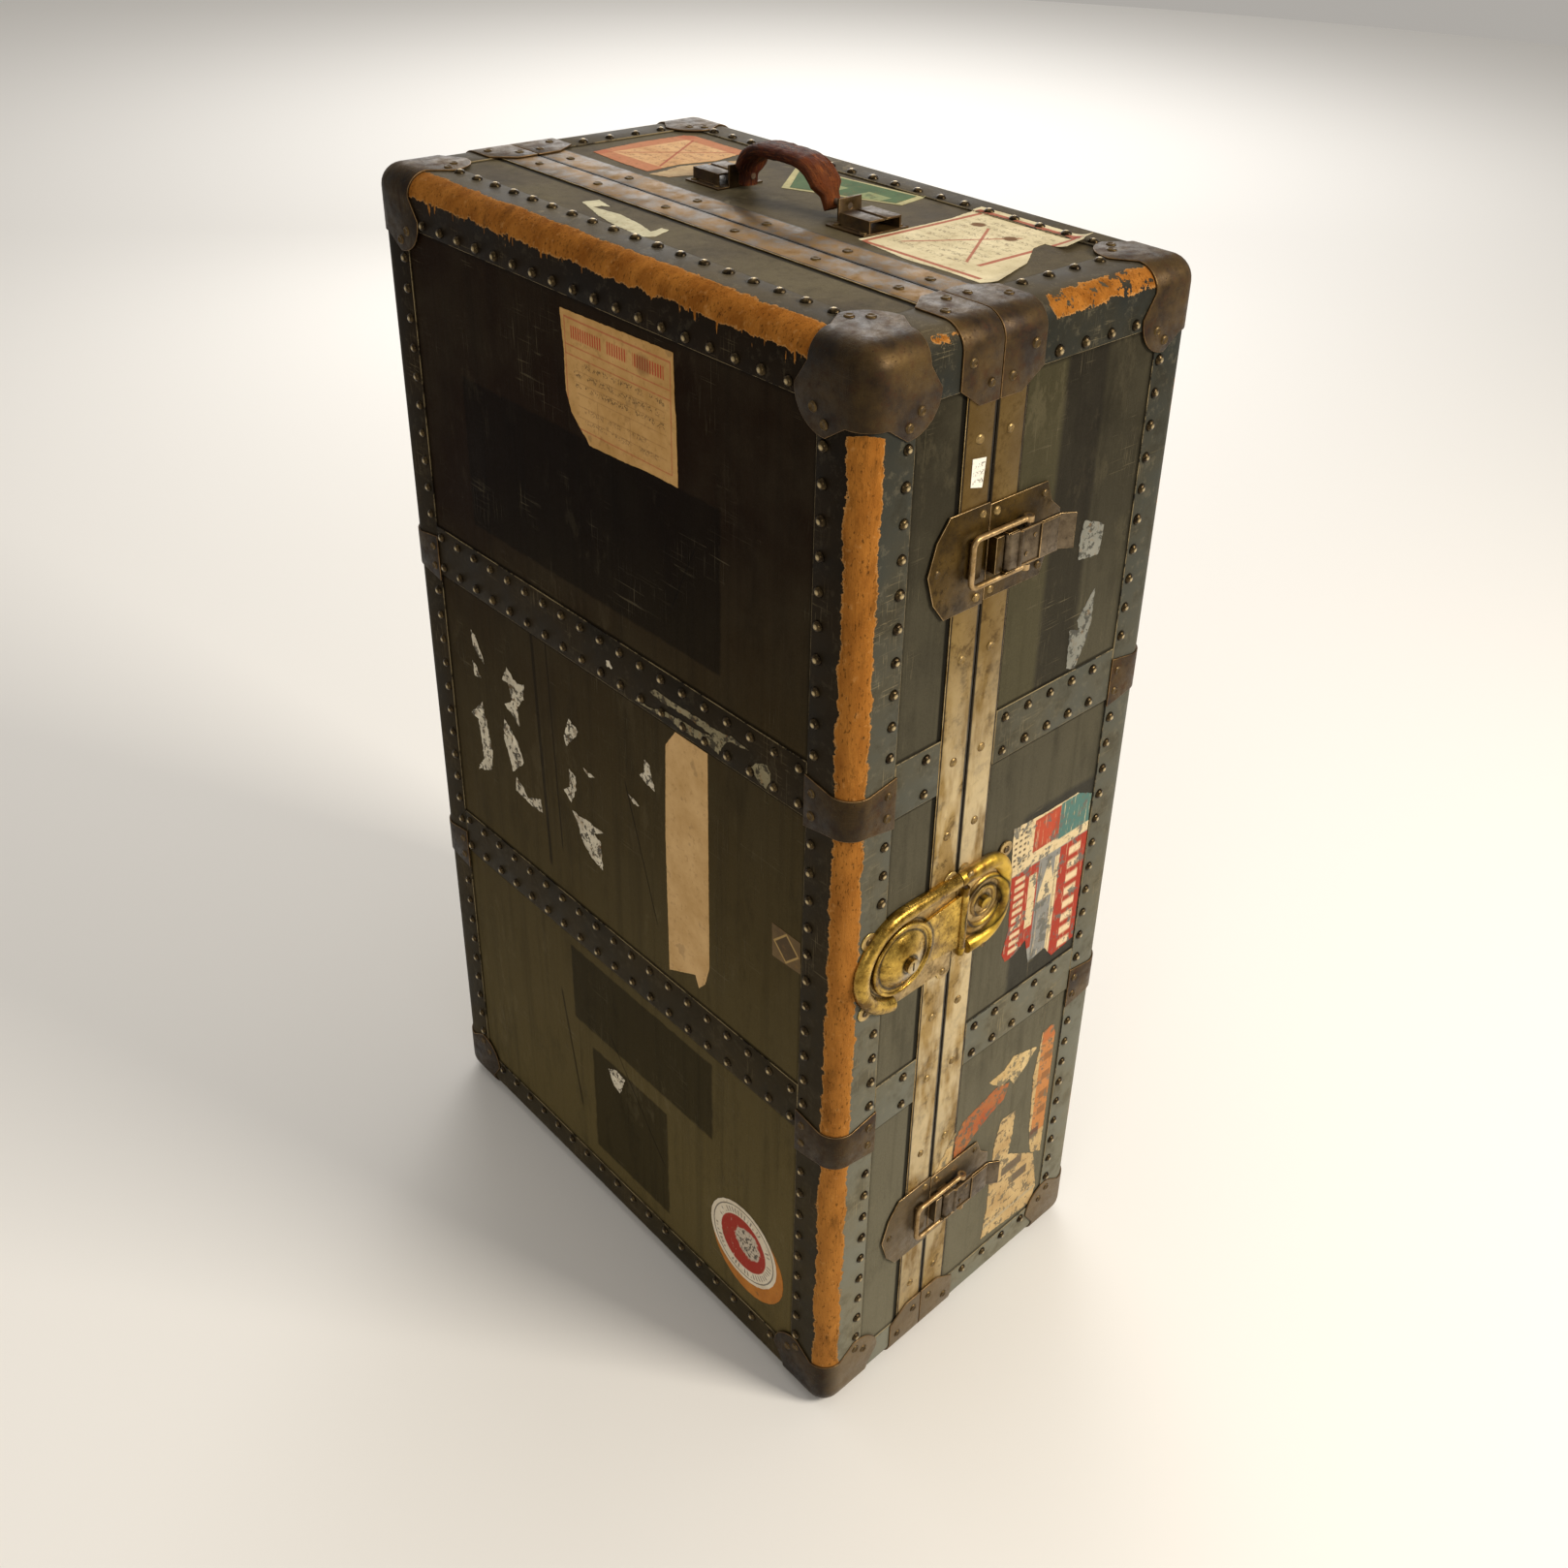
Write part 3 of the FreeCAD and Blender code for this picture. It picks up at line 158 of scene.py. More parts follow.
class Finish:
    """One material, built up in layers on the real sizes of the trunk."""

    def __init__(self, name, roughness=0.6, metallic=0.0, sheen=0.5):
        self.material = bpy.data.materials.new(name)
        self.material.use_nodes = True
        self.tree = self.material.node_tree
        self.shader = self.tree.nodes["Principled BSDF"]
        self.shader.inputs["Roughness"].default_value = roughness
        self.shader.inputs["Metallic"].default_value = metallic
        self.shader.inputs["Specular IOR Level"].default_value = sheen
        self.place = self.tree.nodes.new("ShaderNodeTexCoord").outputs["Object"]
        self.x, self.y, self.z = self.make("ShaderNodeSeparateXYZ", [self.place]).outputs

    def make(self, kind, values, **settings):
        """A node of a kind with its settings; None leaves an input as it is."""
        node = self.tree.nodes.new(kind)
        for key, value in settings.items():
            setattr(node, key, value)
        for socket, value in zip(node.inputs, values):
            self.feed(socket, value)
        return node

    def feed(self, socket, value):
        if isinstance(value, bpy.types.NodeSocket):
            self.tree.links.new(value, socket)
        elif isinstance(value, str):
            socket.default_value = paint(value)
        elif value is not None:
            socket.default_value = value

    def math(self, operation, *values):
        return self.make("ShaderNodeMath", values, operation=operation).outputs[0]

    def add(self, *values):
        total = values[0]
        for value in values[1:]:
            total = self.math("ADD", total, value)
        return total

    def times(self, *values):
        product = values[0]
        for value in values[1:]:
            product = self.math("MULTIPLY", product, value)
        return product

    def less(self, first, second):
        return self.math("SUBTRACT", first, second)

    def off(self, mask):
        """1 where the mask is 0, and 0 where it is 1."""
        return self.less(1.0, mask)

    def either(self, *masks):
        """The masks together, but never above 1."""
        return self.math("MINIMUM", self.add(*masks), 1.0)

    def step(self, value, low, high):
        """Rises from 0 to 1 while the value goes from low to high."""
        return self.make("ShaderNodeMapRange", [value, low, high], clamp=True).outputs[0]

    def fall(self, value, low, high):
        """Falls from 1 to 0 while the value goes from low to high."""
        return self.off(self.step(value, low, high))

    def apart(self, value, centre):
        """How far a value is from a centre."""
        return self.math("ABSOLUTE", self.less(value, centre))

    def distance(self, first, second, centre):
        """The distance on a side from a centre, and its two parts."""
        da, db = self.less(first, centre[0]), self.less(second, centre[1])
        return self.math("SQRT", self.add(self.times(da, da), self.times(db, db))), da, db

    def line(self, value, centre, half_width):
        """1 on a thin line across a coordinate, 0 away from it."""
        return self.fall(self.apart(value, centre), half_width * 0.7, half_width * 1.3)

    def cycle(self, value, pitch):
        """The share of a repeat, from 0 to 1, over and over along a coordinate."""
        return self.math("FRACT", self.math("DIVIDE", value, pitch))

    def window(self, *ranges, soft=0.001, rag=None):
        """1 inside a box given by (coordinate, low, high), with borders that may be ragged."""
        inside = None
        for value, low, high in ranges:
            away = self.apart(value, (low + high) / 2)
            if rag is not None:
                away = self.add(away, rag)
            half = (high - low) / 2
            part = self.less(1.0, self.step(away, half - soft, half + soft))
            inside = part if inside is None else self.times(inside, part)
        return inside

    def grain(self, size, detail=3.0, rough=0.6, place=None, twist=0.0):
        """Noise between 0 and 1, whose lumps have this size; three sizes stretch it."""
        sizes = (size, size, size) if isinstance(size, (int, float)) else size
        scale = tuple(1 / part for part in sizes)
        source = self.place if place is None else place
        stretched = self.make("ShaderNodeVectorMath", [source, scale], operation="MULTIPLY").outputs[0]
        cloud = self.make("ShaderNodeTexNoise", [stretched])
        cloud.inputs["Scale"].default_value = 1.0
        cloud.inputs["Detail"].default_value = detail
        cloud.inputs["Roughness"].default_value = rough
        cloud.inputs["Distortion"].default_value = twist
        return cloud.outputs[0]

    def rag(self, size, reach):
        """A ragged offset of up to about the reach, either way."""
        return self.times(self.less(self.grain(size, 5.0, 0.65), 0.5), 2.6 * reach)

    def mix(self, share, first, second):
        """The first colour where the share is 0, the second where it is 1."""
        node = self.tree.nodes.new("ShaderNodeMix")
        node.data_type = "RGBA"
        colours = [socket for socket in node.inputs if socket.type == "RGBA"]
        for socket, value in zip([node.inputs[0]] + colours, (share, first, second)):
            self.feed(socket, value)
        return node.outputs[2]

    def lay(self, tone, colour, *masks):
        """The colour laid over the tone where all the masks are on."""
        return self.mix(self.times(*masks), tone, colour)

    def darken(self, tone, share, depth):
        """The tone, pulled towards soot by the share times the depth."""
        return self.lay(tone, soot_colour, share, depth)

    def scratches(self, size, length, keep):
        """Thin broken scratches in two directions; keep near 1 leaves only a few."""
        steep = self.grain((size, size, length), 2.0, 0.5, twist=0.5)
        shallow = self.grain((length, length, size * 1.4), 2.0, 0.5, twist=0.8)
        few = self.grain(0.06, 3.0)
        marks = self.add(self.step(steep, keep, keep + 0.02), self.step(shallow, keep + 0.01, keep + 0.03))
        return self.times(marks, self.step(few, 0.54, 0.66))

    def done(self, colour, roughness=None, height=None, depth=0.0003):
        """Joins the colour, the roughness and the relief to the shader."""
        self.feed(self.shader.inputs["Base Color"], colour)
        self.feed(self.shader.inputs["Roughness"], roughness)
        if height is not None:
            bump = self.tree.nodes.new("ShaderNodeBump")
            bump.inputs["Distance"].default_value = depth
            self.feed(bump.inputs["Height"], height)
            self.tree.links.new(bump.outputs[0], self.shader.inputs["Normal"])
        return self.material


def wear(node, finish):
    """Gives a CAD piece its finish; its mesh and place stay as they are."""
    nodes[node].data.materials[0] = finish


print("soot", soot_colour, "is", [round(v, 5) for v in paint(soot_colour)[:3]], "in linear values")

# %% [markdown]
# ## Sizes read from the CAD
# The finishes need to know where the case ends, where the seam runs and where the bands lie.
# All of it is read from the boxes of the CAD pieces, so that paint, dirt and painted shadow stay in
# place when the model changes. Only the widths of the strips are written here.

# %% Sizes read from the CAD
binding_width = 0.045
band_height = 0.049
case_low, case_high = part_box("lid_bindings")[0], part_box("body_bindings")[1]
case_middle = (case_low + case_high) / 2
cover_low, cover_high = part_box("lid_cover")[0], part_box("body_cover")[1]
hoop_low, hoop_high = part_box("lid_valance")[0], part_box("body_valance")[1]
seam_x = (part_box("lid_valance")[1].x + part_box("body_valance")[0].x) / 2
band_low, band_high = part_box("lid_cross_bands")
band_levels = ((band_low.z, band_low.z + band_height), (band_high.z - band_height, band_high.z))
print("case", [round(v, 4) for v in case_low], [round(v, 4) for v in case_high])


def edge_distance(f):
    """The distance from a point on the case to its nearest edge, as a socket."""
    far = [f.less((case_high[axis] - case_low[axis]) / 2, f.apart(value, case_middle[axis]))
           for axis, value in enumerate((f.x, f.y, f.z))]
    nearer = f.math("MINIMUM", far[0], far[1])
    further = f.math("MAXIMUM", far[0], far[1])
    return f.math("MAXIMUM", nearer, f.math("MINIMUM", further, far[2]))


# %% [markdown]
# ## The fibre cover
# The boards of such a trunk are covered with sheets of vulcanised fibre, painted dark. Ninety
# years of hauling leave scuffs, soot and the dark ghosts of labels that were torn off. The
# finish mixes one tone for each side, partly the fibre's own tone and partly painted light and
# shade, then lays stains, streaks, ghosts, scratches and painted shadows beside the strips over it.

# %% Marks on the cover
# Each scratch runs from one (y, z) of the broad side to another, and has a half width.
scratch_lines = (((0.100, 0.245), (0.075, 0.105), 0.0016), ((0.113, 0.700), (0.103, 0.400), 0.0022),
                 ((0.090, 0.660), (0.082, 0.430), 0.0010), ((-0.118, 0.820), (-0.090, 0.760), 0.0007),
                 ((0.020, 0.240), (-0.060, 0.130), 0.0008), ((-0.020, 0.560), (-0.060, 0.430), 0.0008))
# Ghosts of lost labels on the broad side: the ranges in y and z, and how dark.
ghosts = (((-0.147, 0.189), (0.724, 0.862), 0.55), ((-0.133, 0.079), (0.224, 0.316), 0.6),
          ((-0.066, 0.052), (0.067, 0.203), 0.62))
# Faded and darkened fields on the front: the ranges in x and z, the colour and its share.
front_fields = (((0.026, 0.072), (0.69, 0.972), "#1f1c18", 0.6),
                ((-0.018, 0.026), (0.69, 0.972), "#4a452f", 0.45),
                ((0.034, 0.128), (0.375, 0.572), "#2f2e2b", 0.75))


def stroke(f, start, end, half_width):
    """1 along a straight scratch between two places on the broad side."""
    length = math.hypot(end[0] - start[0], end[1] - start[1])
    along = (end[0] - start[0]) / length, (end[1] - start[1]) / length
    da, db = f.less(f.y, start[0]), f.less(f.z, start[1])
    run = f.add(f.times(da, along[0]), f.times(db, along[1]))
    off = f.add(f.times(da, -along[1]), f.times(db, along[0]), f.rag(0.03, 0.0008))
    return f.times(f.line(off, 0.0, half_width), f.window((run, 0.0, length), soft=0.004))


print(len(scratch_lines), "scratches and", len(ghosts), "ghosts of labels")


# %% Tones of the cover
side_border = 0.002


def cover_tone(f, broad, stains):
    """One tone for each side, partly painted light and shade: pale low on the front from painted floor light,
    dark on the broad side from painted shade, tan on top.
    """
    up = f.step(f.z, 0.0, case_high.z)
    top = f.step(f.z, cover_high.z - side_border, cover_high.z)
    # Painted light and shade: both sides darken upwards, the front is paler low down from painted floor light,
    # and the broad side is darker from painted shade.
    front_tone = f.mix(up, "#6f6a58", "#1f1b12")
    broad_tone = f.mix(f.step(f.add(f.z, f.times(f.y, 0.3)), 0.1, 0.8), "#5c5030", "#1c1006")
    tone = f.mix(broad, front_tone, broad_tone)
    tone = f.mix(top, tone, f.mix(f.step(stains, 0.35, 0.65), "#453c2d", "#655b45"))
    return f.lay(tone, "#5a5544", f.step(stains, 0.42, 0.7), f.off(f.times(broad, 0.6)), 0.35)


def lost_labels(f, tone, broad):
    """The ghosts on the broad side and the fields on the front."""
    ragged = f.rag(0.012, 0.002)
    for (y_low, y_high), (z_low, z_high), depth in ghosts:
        field = f.window((f.y, y_low, y_high), (f.z, z_low, z_high), soft=0.0012, rag=ragged)
        tone = f.darken(tone, f.times(field, broad), depth)
    on_front = f.times(f.off(broad), f.fall(f.y, cover_low.y, cover_low.y + side_border))
    for (x_low, x_high), (z_low, z_high), colour, share in front_fields:
        field = f.window((f.x, x_low, x_high), (f.z, z_low, z_high), soft=0.003, rag=ragged)
        tone = f.lay(tone, colour, field, on_front, share)
    return tone


def painted_shadow_by_strips(f, tone):
    """Painted shadow beside the hoops, the bands and the bindings."""
    beside_hoops = f.either(f.window((f.x, hoop_low.x - 0.0042, hoop_low.x + 0.001), soft=0.0008),
                            f.window((f.x, hoop_high.x - 0.001, hoop_high.x + 0.0018), soft=0.0006))
    tone = f.darken(tone, beside_hoops, 0.85)
    beside_bands = f.either(*[f.line(f.z, level, 0.0024) for levels in band_levels for level in levels])
    beside_edge = f.fall(f.add(edge_distance(f), f.rag(0.01, 0.0008)), binding_width, binding_width + 0.004)
    return f.darken(tone, f.math("MAXIMUM", beside_bands, beside_edge), 0.6)


print("tones for the broad side, the front and the top")


# %% Fibre cover finish
def painted_fibre_cover():
    f = Finish("painted fibre cover", 0.5, sheen=0.02)
    up = f.step(f.z, 0.0, case_high.z)
    broad = f.fall(f.x, cover_low.x, cover_low.x + side_border)
    stains = f.grain(0.11, 5.0, 0.62)
    tone = cover_tone(f, broad, stains)
    streaks = f.grain((0.010, 0.010, 0.35), 4.0)
    tone = f.darken(tone, f.step(streaks, 0.5, 0.75), 0.25)
    tone = lost_labels(f, tone, broad)
    marks = f.scratches(0.0011, 0.05, 0.63)
    tone = f.lay(tone, "#857a60", marks, f.less(0.35, f.times(broad, 0.15)))
    here = f.step(f.grain(0.16, 3.0, 0.6), 0.48, 0.60)
    scuffs = f.times(f.step(f.grain((0.02, 0.02, 0.05), 6.0, 0.75), 0.545, 0.60), here)
    tone = f.lay(tone, "#82775c", scuffs, f.less(0.13, f.times(broad, up, 0.10)))
    for start, end, half_width in scratch_lines:
        tone = f.lay(tone, "#0d0906", stroke(f, start, end, half_width), broad, 0.6)
    # Painted shadow beside the hoops, bands and bindings.
    tone = painted_shadow_by_strips(f, tone)
    soot = f.step(f.grain((0.03, 0.03, 0.09), 6.0, 0.7), 0.52, 0.66)
    tone = f.darken(tone, f.times(soot, f.off(f.times(here, 0.7))), 0.22)
    fine = f.grain(0.0012, 4.0, 0.7)
    tone = f.darken(tone, f.step(fine, 0.45, 0.8), 0.25)
    relief = f.add(f.times(fine, 0.35), f.times(stains, 1.4), f.times(marks, -0.5), f.times(streaks, 0.4))
    return f.done(tone, f.step(f.add(f.times(stains, 0.5), f.times(fine, 0.4)), -0.35, 1.1), relief, 0.0006)


cover_finish = painted_fibre_cover()
wear("lid_cover", cover_finish)
wear("body_cover", cover_finish)
print("cover finish on", cover_low, cover_high)

# %% [markdown]
# ## Bindings and bands
# Strips of thicker fibre bind the edges. Their slate paint has rubbed off where the trunk was
# dragged, and the tan fibre shows, fuzzy and with a ragged rim. How far a point lies from the
# nearest edge of the case is the middle one of its three distances to the case's sides. Where
# that distance is smaller than a width with noise on it, the finish shows bare fibre.


# %% Where the bindings are bare
# Boxes, as ranges in x, y and z, round the edges that were rubbed the most.
near_corner = ((-0.30, -0.10), (-0.40, -0.24), (0.048, 0.961))
lid_top_edge = ((-0.30, -0.12), (-0.245, 0.262), (0.95, 1.10))
body_top_edge = ((0.004, 0.134), (-0.40, -0.25), (0.94, 1.10))
small_patch = ((-0.114, -0.096), (-0.40, -0.25), (0.94, 1.10))


def inside(f, box, soft):
    """1 inside a box, 0 outside."""
    return f.window(*[(value, low, high) for value, (low, high) in zip((f.x, f.y, f.z), box)], soft=soft)


def bare_depth(f, broad):
    """How far past the rim of the bare fibre a point lies, in metres; below 0 it is bare."""
    corner, lid_top = inside(f, near_corner, 0.002), inside(f, lid_top_edge, 0.004)
    body_top, patch = inside(f, body_top_edge, 0.003), inside(f, small_patch, 0.002)
    slow = f.grain(0.045, 2.0)
    width = f.times(f.step(slow, 0.52, 0.72), 0.006)
    far_edges = f.times(f.step(slow, 0.46, 0.6), f.step(f.x, 0.10, 0.14), 0.009)
    width = f.math("MAXIMUM", width, far_edges)
    for place, reach in ((corner, 0.0165), (lid_top, 0.0175), (body_top, 0.0135), (patch, 0.008)):
        width = f.math("MAXIMUM", width, f.times(place, reach))
    ragged = f.add(f.rag(0.022, 0.0050), f.rag(0.006, 0.0036), f.rag(0.0018, 0.0008))
    drips = f.times(f.step(f.grain((0.03, 0.0040, 0.03), 2.0), 0.60, 0.78), lid_top, broad)
    width = f.add(width, f.times(drips, 0.013))
    past = f.less(f.add(width, f.times(ragged, f.step(width, 0.001, 0.006))), edge_distance(f))
    flakes = f.times(f.step(f.grain(0.013, 4.0, 0.7), 0.55, 0.57), f.math("MAXIMUM", body_top, patch))
    return f.less(past, f.times(flakes, 0.02))


print("bare fibre on four stretches of edge")


# %% Slate paint and bare fibre
def slate_paint(f, broad, stains, up):
    """The paint on the bindings: slate in front, brown on the broad side and on top; paler low down and darker
    high up and on the broad side, as painted light and shade.
    """
    top = f.step(f.z, case_high.z - 0.010, case_high.z - 0.003)
    # Painted floor light low on the front and painted shade high up; the shaded tones below are painted shade
    # on the broad side.
    slate = f.mix(up, "#767567", "#1f211e")
    slate = f.mix(f.step(stains, 0.4, 0.7), slate, f.mix(up, "#77705b", "#2f2c22"))
    slate = f.mix(top, slate, f.mix(f.step(stains, 0.4, 0.65), "#3b352a", "#544b3a"))
    shaded = f.mix(f.step(stains, 0.35, 0.7), f.mix(up, "#2c2617", "#110b05"),
                   f.mix(up, "#443a26", "#21170c"))
    slate = f.mix(broad, slate, shaded)
    marks = f.scratches(0.0009, 0.03, 0.63)
    slate = f.lay(slate, "#9a8c6c", marks, f.less(0.4, f.times(broad, 0.2)))
    scuffs = f.step(f.grain(0.012, 6.0, 0.8), 0.545, 0.60)
    slate = f.lay(slate, "#8a8068", scuffs, f.less(0.13, f.times(broad, 0.08)))
    return f.darken(slate, f.step(f.grain(0.03, 5.0, 0.7), 0.52, 0.63), 0.25)


def tan_fibre(f, flecks, up):
    """The bare fibre: patches and streaks of tan, with specks of grime."""
    patches = f.grain((0.016, 0.016, 0.045), 4.0, 0.6)
    fibre = f.mix(f.step(patches, 0.3, 0.7), "#7d4a17", "#a66c2c")
    fibre = f.lay(fibre, "#5e3711", f.step(flecks, 0.5, 0.75), 0.6)
    fibre = f.lay(fibre, "#c8965a", f.step(f.grain(0.006, 4.0), 0.6, 0.75), 0.4)
    fibre = f.lay(fibre, "#bd8746", f.off(up), 0.30)
    fibre = f.darken(fibre, f.step(f.grain((0.02, 0.02, 0.05), 5.0, 0.75), 0.535, 0.66), 0.35)
    return f.darken(fibre, f.step(f.grain((0.0018, 0.0018, 0.0045), 3.0, 0.6), 0.59, 0.66), 0.6)


print("slate paint and tan fibre ready")


# %% Worn binding finish
def worn_binding():
    f = Finish("slate binding worn to tan fibre", 0.5, sheen=0.05)
    up = f.step(f.z, 0.0, case_high.z)
    broad = f.fall(f.x, case_low.x + 0.004, case_low.x + 0.010)
    stains = f.grain(0.06, 5.0, 0.65)
    flecks = f.grain((0.0012, 0.0012, 0.012), 4.0, 0.7)
    past = bare_depth(f, broad)
    bare = f.step(past, -0.0002, 0.0002)
    rim = f.times(f.step(past, -0.0012, 0.0), f.fall(past, 0.0004, 0.0014))
    fibre = f.lay(tan_fibre(f, flecks, up), "#bd8f57", rim, 0.5)
    tone = f.mix(bare, slate_paint(f, broad, stains, up), fibre)
    fine = f.grain(0.0011, 4.0, 0.7)
    relief = f.add(f.times(bare, -1.0), f.times(fine, f.add(0.15, f.times(bare, 0.35))), f.times(stains, 0.8),
                   f.times(flecks, bare, 0.5))
    roughness = f.add(f.step(f.add(stains, f.times(fine, 0.3)), -0.3, 1.4), f.times(bare, 0.35))
    return f.done(tone, roughness, relief, 0.0006)


def rubbed_fibre_edge_and_painted_highlight():
    """The cut edge of a binding: tan where the paint has gone, partly a painted highlight, and dirty elsewhere.
    """
    f = Finish("rubbed binding edge and painted highlight", 0.7, sheen=0.2)
    kept = f.step(f.grain(0.03, 5.0, 0.75), 0.42, 0.53)
    return f.done(f.mix(kept, "#120c07", "#94835f"), 0.7, f.grain(0.0012, 3.0), 0.0003)


binding_finish, fibre_edge_and_painted_highlight = worn_binding(), rubbed_fibre_edge_and_painted_highlight()
print("binding finishes:", binding_finish.name, "and", fibre_edge_and_painted_highlight.name)

# %% [markdown]
# ## Metal finishes
# The hoops round the mouth are brass-plated steel gone dull, the caps and clamps are browned
# steel, the draw bolts bronzed steel, and the lock is polished brass. One function mixes them:
# a base metal, painted shade on the broad side and in seams and grooves, spots of rust or grime,
# and a brighter metal for rubbed edges, partly a painted highlight. Only the colours, sizes and
# gloss differ.


# %% Metal finish
beyond_broad_edge = (case_low.x + 0.003, case_low.x + 0.02)


def aged_metal(name, bright, dull, spot, gloss=0.38, metallic=0.8, patch=0.03, spots=0.5, shade_low=0.0,
               grime=None, tint=None):
    """A metal with dull patches, spots, pits and scratches; shade_low paints shade on the broad side, grime
    paints shade in seams and grooves, with dirt round the lock, and tint adds what is its own.
    """
    f = Finish(name, gloss, metallic, 0.25)
    clouds = f.grain(patch, 5.0, 0.65)
    tone = f.mix(f.step(clouds, 0.36, 0.66), dull, bright)
    blotch = f.grain(patch * 0.3, 6.0, 0.75)
    tone = f.lay(tone, spot, f.step(blotch, 0.53, 0.64), spots)
    pits = f.step(f.grain(0.0022, 3.0, 0.6), 0.66, 0.72)
    tone = f.lay(tone, "#1c120a", pits, 0.6)
    marks = f.scratches(0.0006, 0.02, 0.62)
    tone = f.lay(tone, bright, marks, 0.5)
    if shade_low:
        tone = f.darken(tone, f.fall(f.x, *beyond_broad_edge), shade_low)
    if tint:
        tone = tint(f, tone)
    # Painted shade in seams and grooves, with dirt in the lock's grooves.
    if grime:
        tone = f.darken(tone, grime(f), 0.95)
    fine = f.grain(0.0008, 3.0, 0.7)
    relief = f.add(f.times(fine, 0.2), f.times(pits, -0.6), f.times(clouds, 1.2), f.times(marks, -0.2))
    rough = f.add(f.times(f.step(blotch, 0.4, 0.7), 0.3), f.times(clouds, 0.25), gloss - 0.15)
    return f.done(tone, rough, relief, 0.0004)


print("metal finish ready")

# %% [markdown]
# ### Painted shade and glints, dirt and rubbing on the metal
# Painted shade darkens seams and grooves, plating browns where damp lay on it, and what hands and
# floors touch stays bright, with a painted glint on the nail crowns. Each function below adds one
# such mark to one kind of metal.
# %% Marks on the metal
def hoop_painted_shade(f):
    """Painted shade in the seam and along the outer borders of the two hoops."""
    borders = ((hoop_low.x, 0.0020), (seam_x, 0.0026), (hoop_high.x, 0.0019))
    return f.either(*[f.line(f.add(f.x, f.rag(0.02, 0.0003)), place, half_width)
                      for place, half_width in borders])


def seam_painted_shade(f):
    """Painted shade in the seam alone."""
    return f.line(f.x, seam_x, 0.0026)


def hoop_fading(f, tone):
    """The plating went brown near the top and is still creamy halfway down."""
    tone = f.lay(tone, "#4a3716", f.step(f.z, 0.50, 0.92), 0.8)
    streaky = f.step(f.grain((0.02, 0.02, 0.07), 3.0), 0.42, 0.58)
    creamy = f.times(f.window((f.z, 0.06, 0.70), soft=0.08), streaky)
    tone = f.lay(tone, "#e4d4ae", creamy, 0.5)
    top = f.step(f.z, hoop_high.z - 0.03, hoop_high.z - 0.002)
    browned = f.mix(f.step(f.grain(0.03, 5.0, 0.7), 0.42, 0.6), "#3f2c0a", "#7d5a1a")
    return f.mix(f.times(top, 0.88), tone, browned)


def crown_glint_and_rim_shade(f, tone):
    """A nail head has a painted glint on its rubbed crown, and dirt and painted shade round its rim."""
    crown = f.make("ShaderNodeAttribute", [], attribute_name="crown").outputs["Fac"]
    # Dirt and painted shade round the rim; a painted glint on the crown.
    tone = f.darken(tone, f.fall(crown, 0.05, 0.60), 0.75)
    return f.lay(tone, "#c9b488", f.step(crown, 0.86, 1.0))


def paler_foot(f, tone):
    """Low on the front, the dark metal is paler."""
    low = f.times(f.fall(f.z, 0.10, 0.34), f.step(f.x, *beyond_broad_edge))
    return f.lay(tone, "#8f7f66", low, 0.5)


def rivet_colour(f, tone):
    """The rivets match what they hold: pale on the hoops, dark on caps and clamps."""
    on_hoops = f.window((f.x, hoop_low.x, hoop_high.x), (f.z, 0.05, 0.96), soft=0.002)
    return f.lay(tone, "#3a2c1a", f.off(on_hoops), 0.75)


# Of these marks, the hoop and seam lines are painted shade and the nail crowns carry a painted glint.
print("dirt and rubbing for hoops, nails, rivets and dark metal")

# %% [markdown]
# ### The lock
# The lock is the brightest piece. Its disc lies on the lid and its boss on the body, with dirt
# and painted shade in the grooves round both, and a painted sheen on the disc. The radii and tones
# follow the photograph.

# %% Marks on the lock
plug_low, plug_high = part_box("key_plug")
lid_disc_x, lock_z = (plug_low.x + plug_high.x) / 2, (plug_low.z + plug_high.z) / 2
body_boss_x = seam_x + 0.034
plate_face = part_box("lid_lock_plate")[0].y
disc_grooves, boss_grooves = (0.0345, 0.0262, 0.0078), (0.0275, 0.0195, 0.0100)
groove_width = 0.0022


def rolled_brass(f, tone):
    """The rolled border stands proud of its plate and has kept a yellow shine."""
    proud = f.step(f.less(plate_face, f.y), 0.0008, 0.0024)
    return f.mix(proud, tone, f.mix(f.step(f.grain(0.022, 4.0, 0.6), 0.4, 0.62), "#6b4f1c", "#cfab42"))


def painted_disc_sheen(f, tone):
    """A painted sheen: the lower right of the lock's disc is laid over with a grey white."""
    away = f.distance(f.x, f.z, (lid_disc_x + 0.006, lock_z - 0.008))[0]
    return f.lay(tone, "#b9b2a2", f.fall(f.add(away, f.rag(0.008, 0.004)), 0.008, 0.017), 0.6)


def lock_groove_dirt_and_shade(f):
    """Dirt and painted shade in the grooves round the lock's disc and round the boss on the body."""
    rings = []
    for centre, radii in ((lid_disc_x, disc_grooves), (body_boss_x, boss_grooves)):
        away = f.add(f.distance(f.x, f.z, (centre, lock_z))[0], f.rag(0.006, 0.0005))
        rings += [f.fall(f.apart(away, radius), 0.0, groove_width) for radius in radii]
    return f.either(*rings)


print("lock at", round(lid_disc_x, 4), round(lock_z, 4))

# %% Metals of this trunk
plate_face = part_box("lid_lock_plate")[0].y
# On the cap steel, shade_low 0.5 paints shade on the broad side; the grime arguments paint shade in seams and
# grooves, with dirt round the lock.
hoop_brass = aged_metal("dull plated brass", "#b0945c", "#80642f", "#463116", 0.42, 0.75, 0.05, 0.7,
                        grime=hoop_painted_shade, tint=hoop_fading)
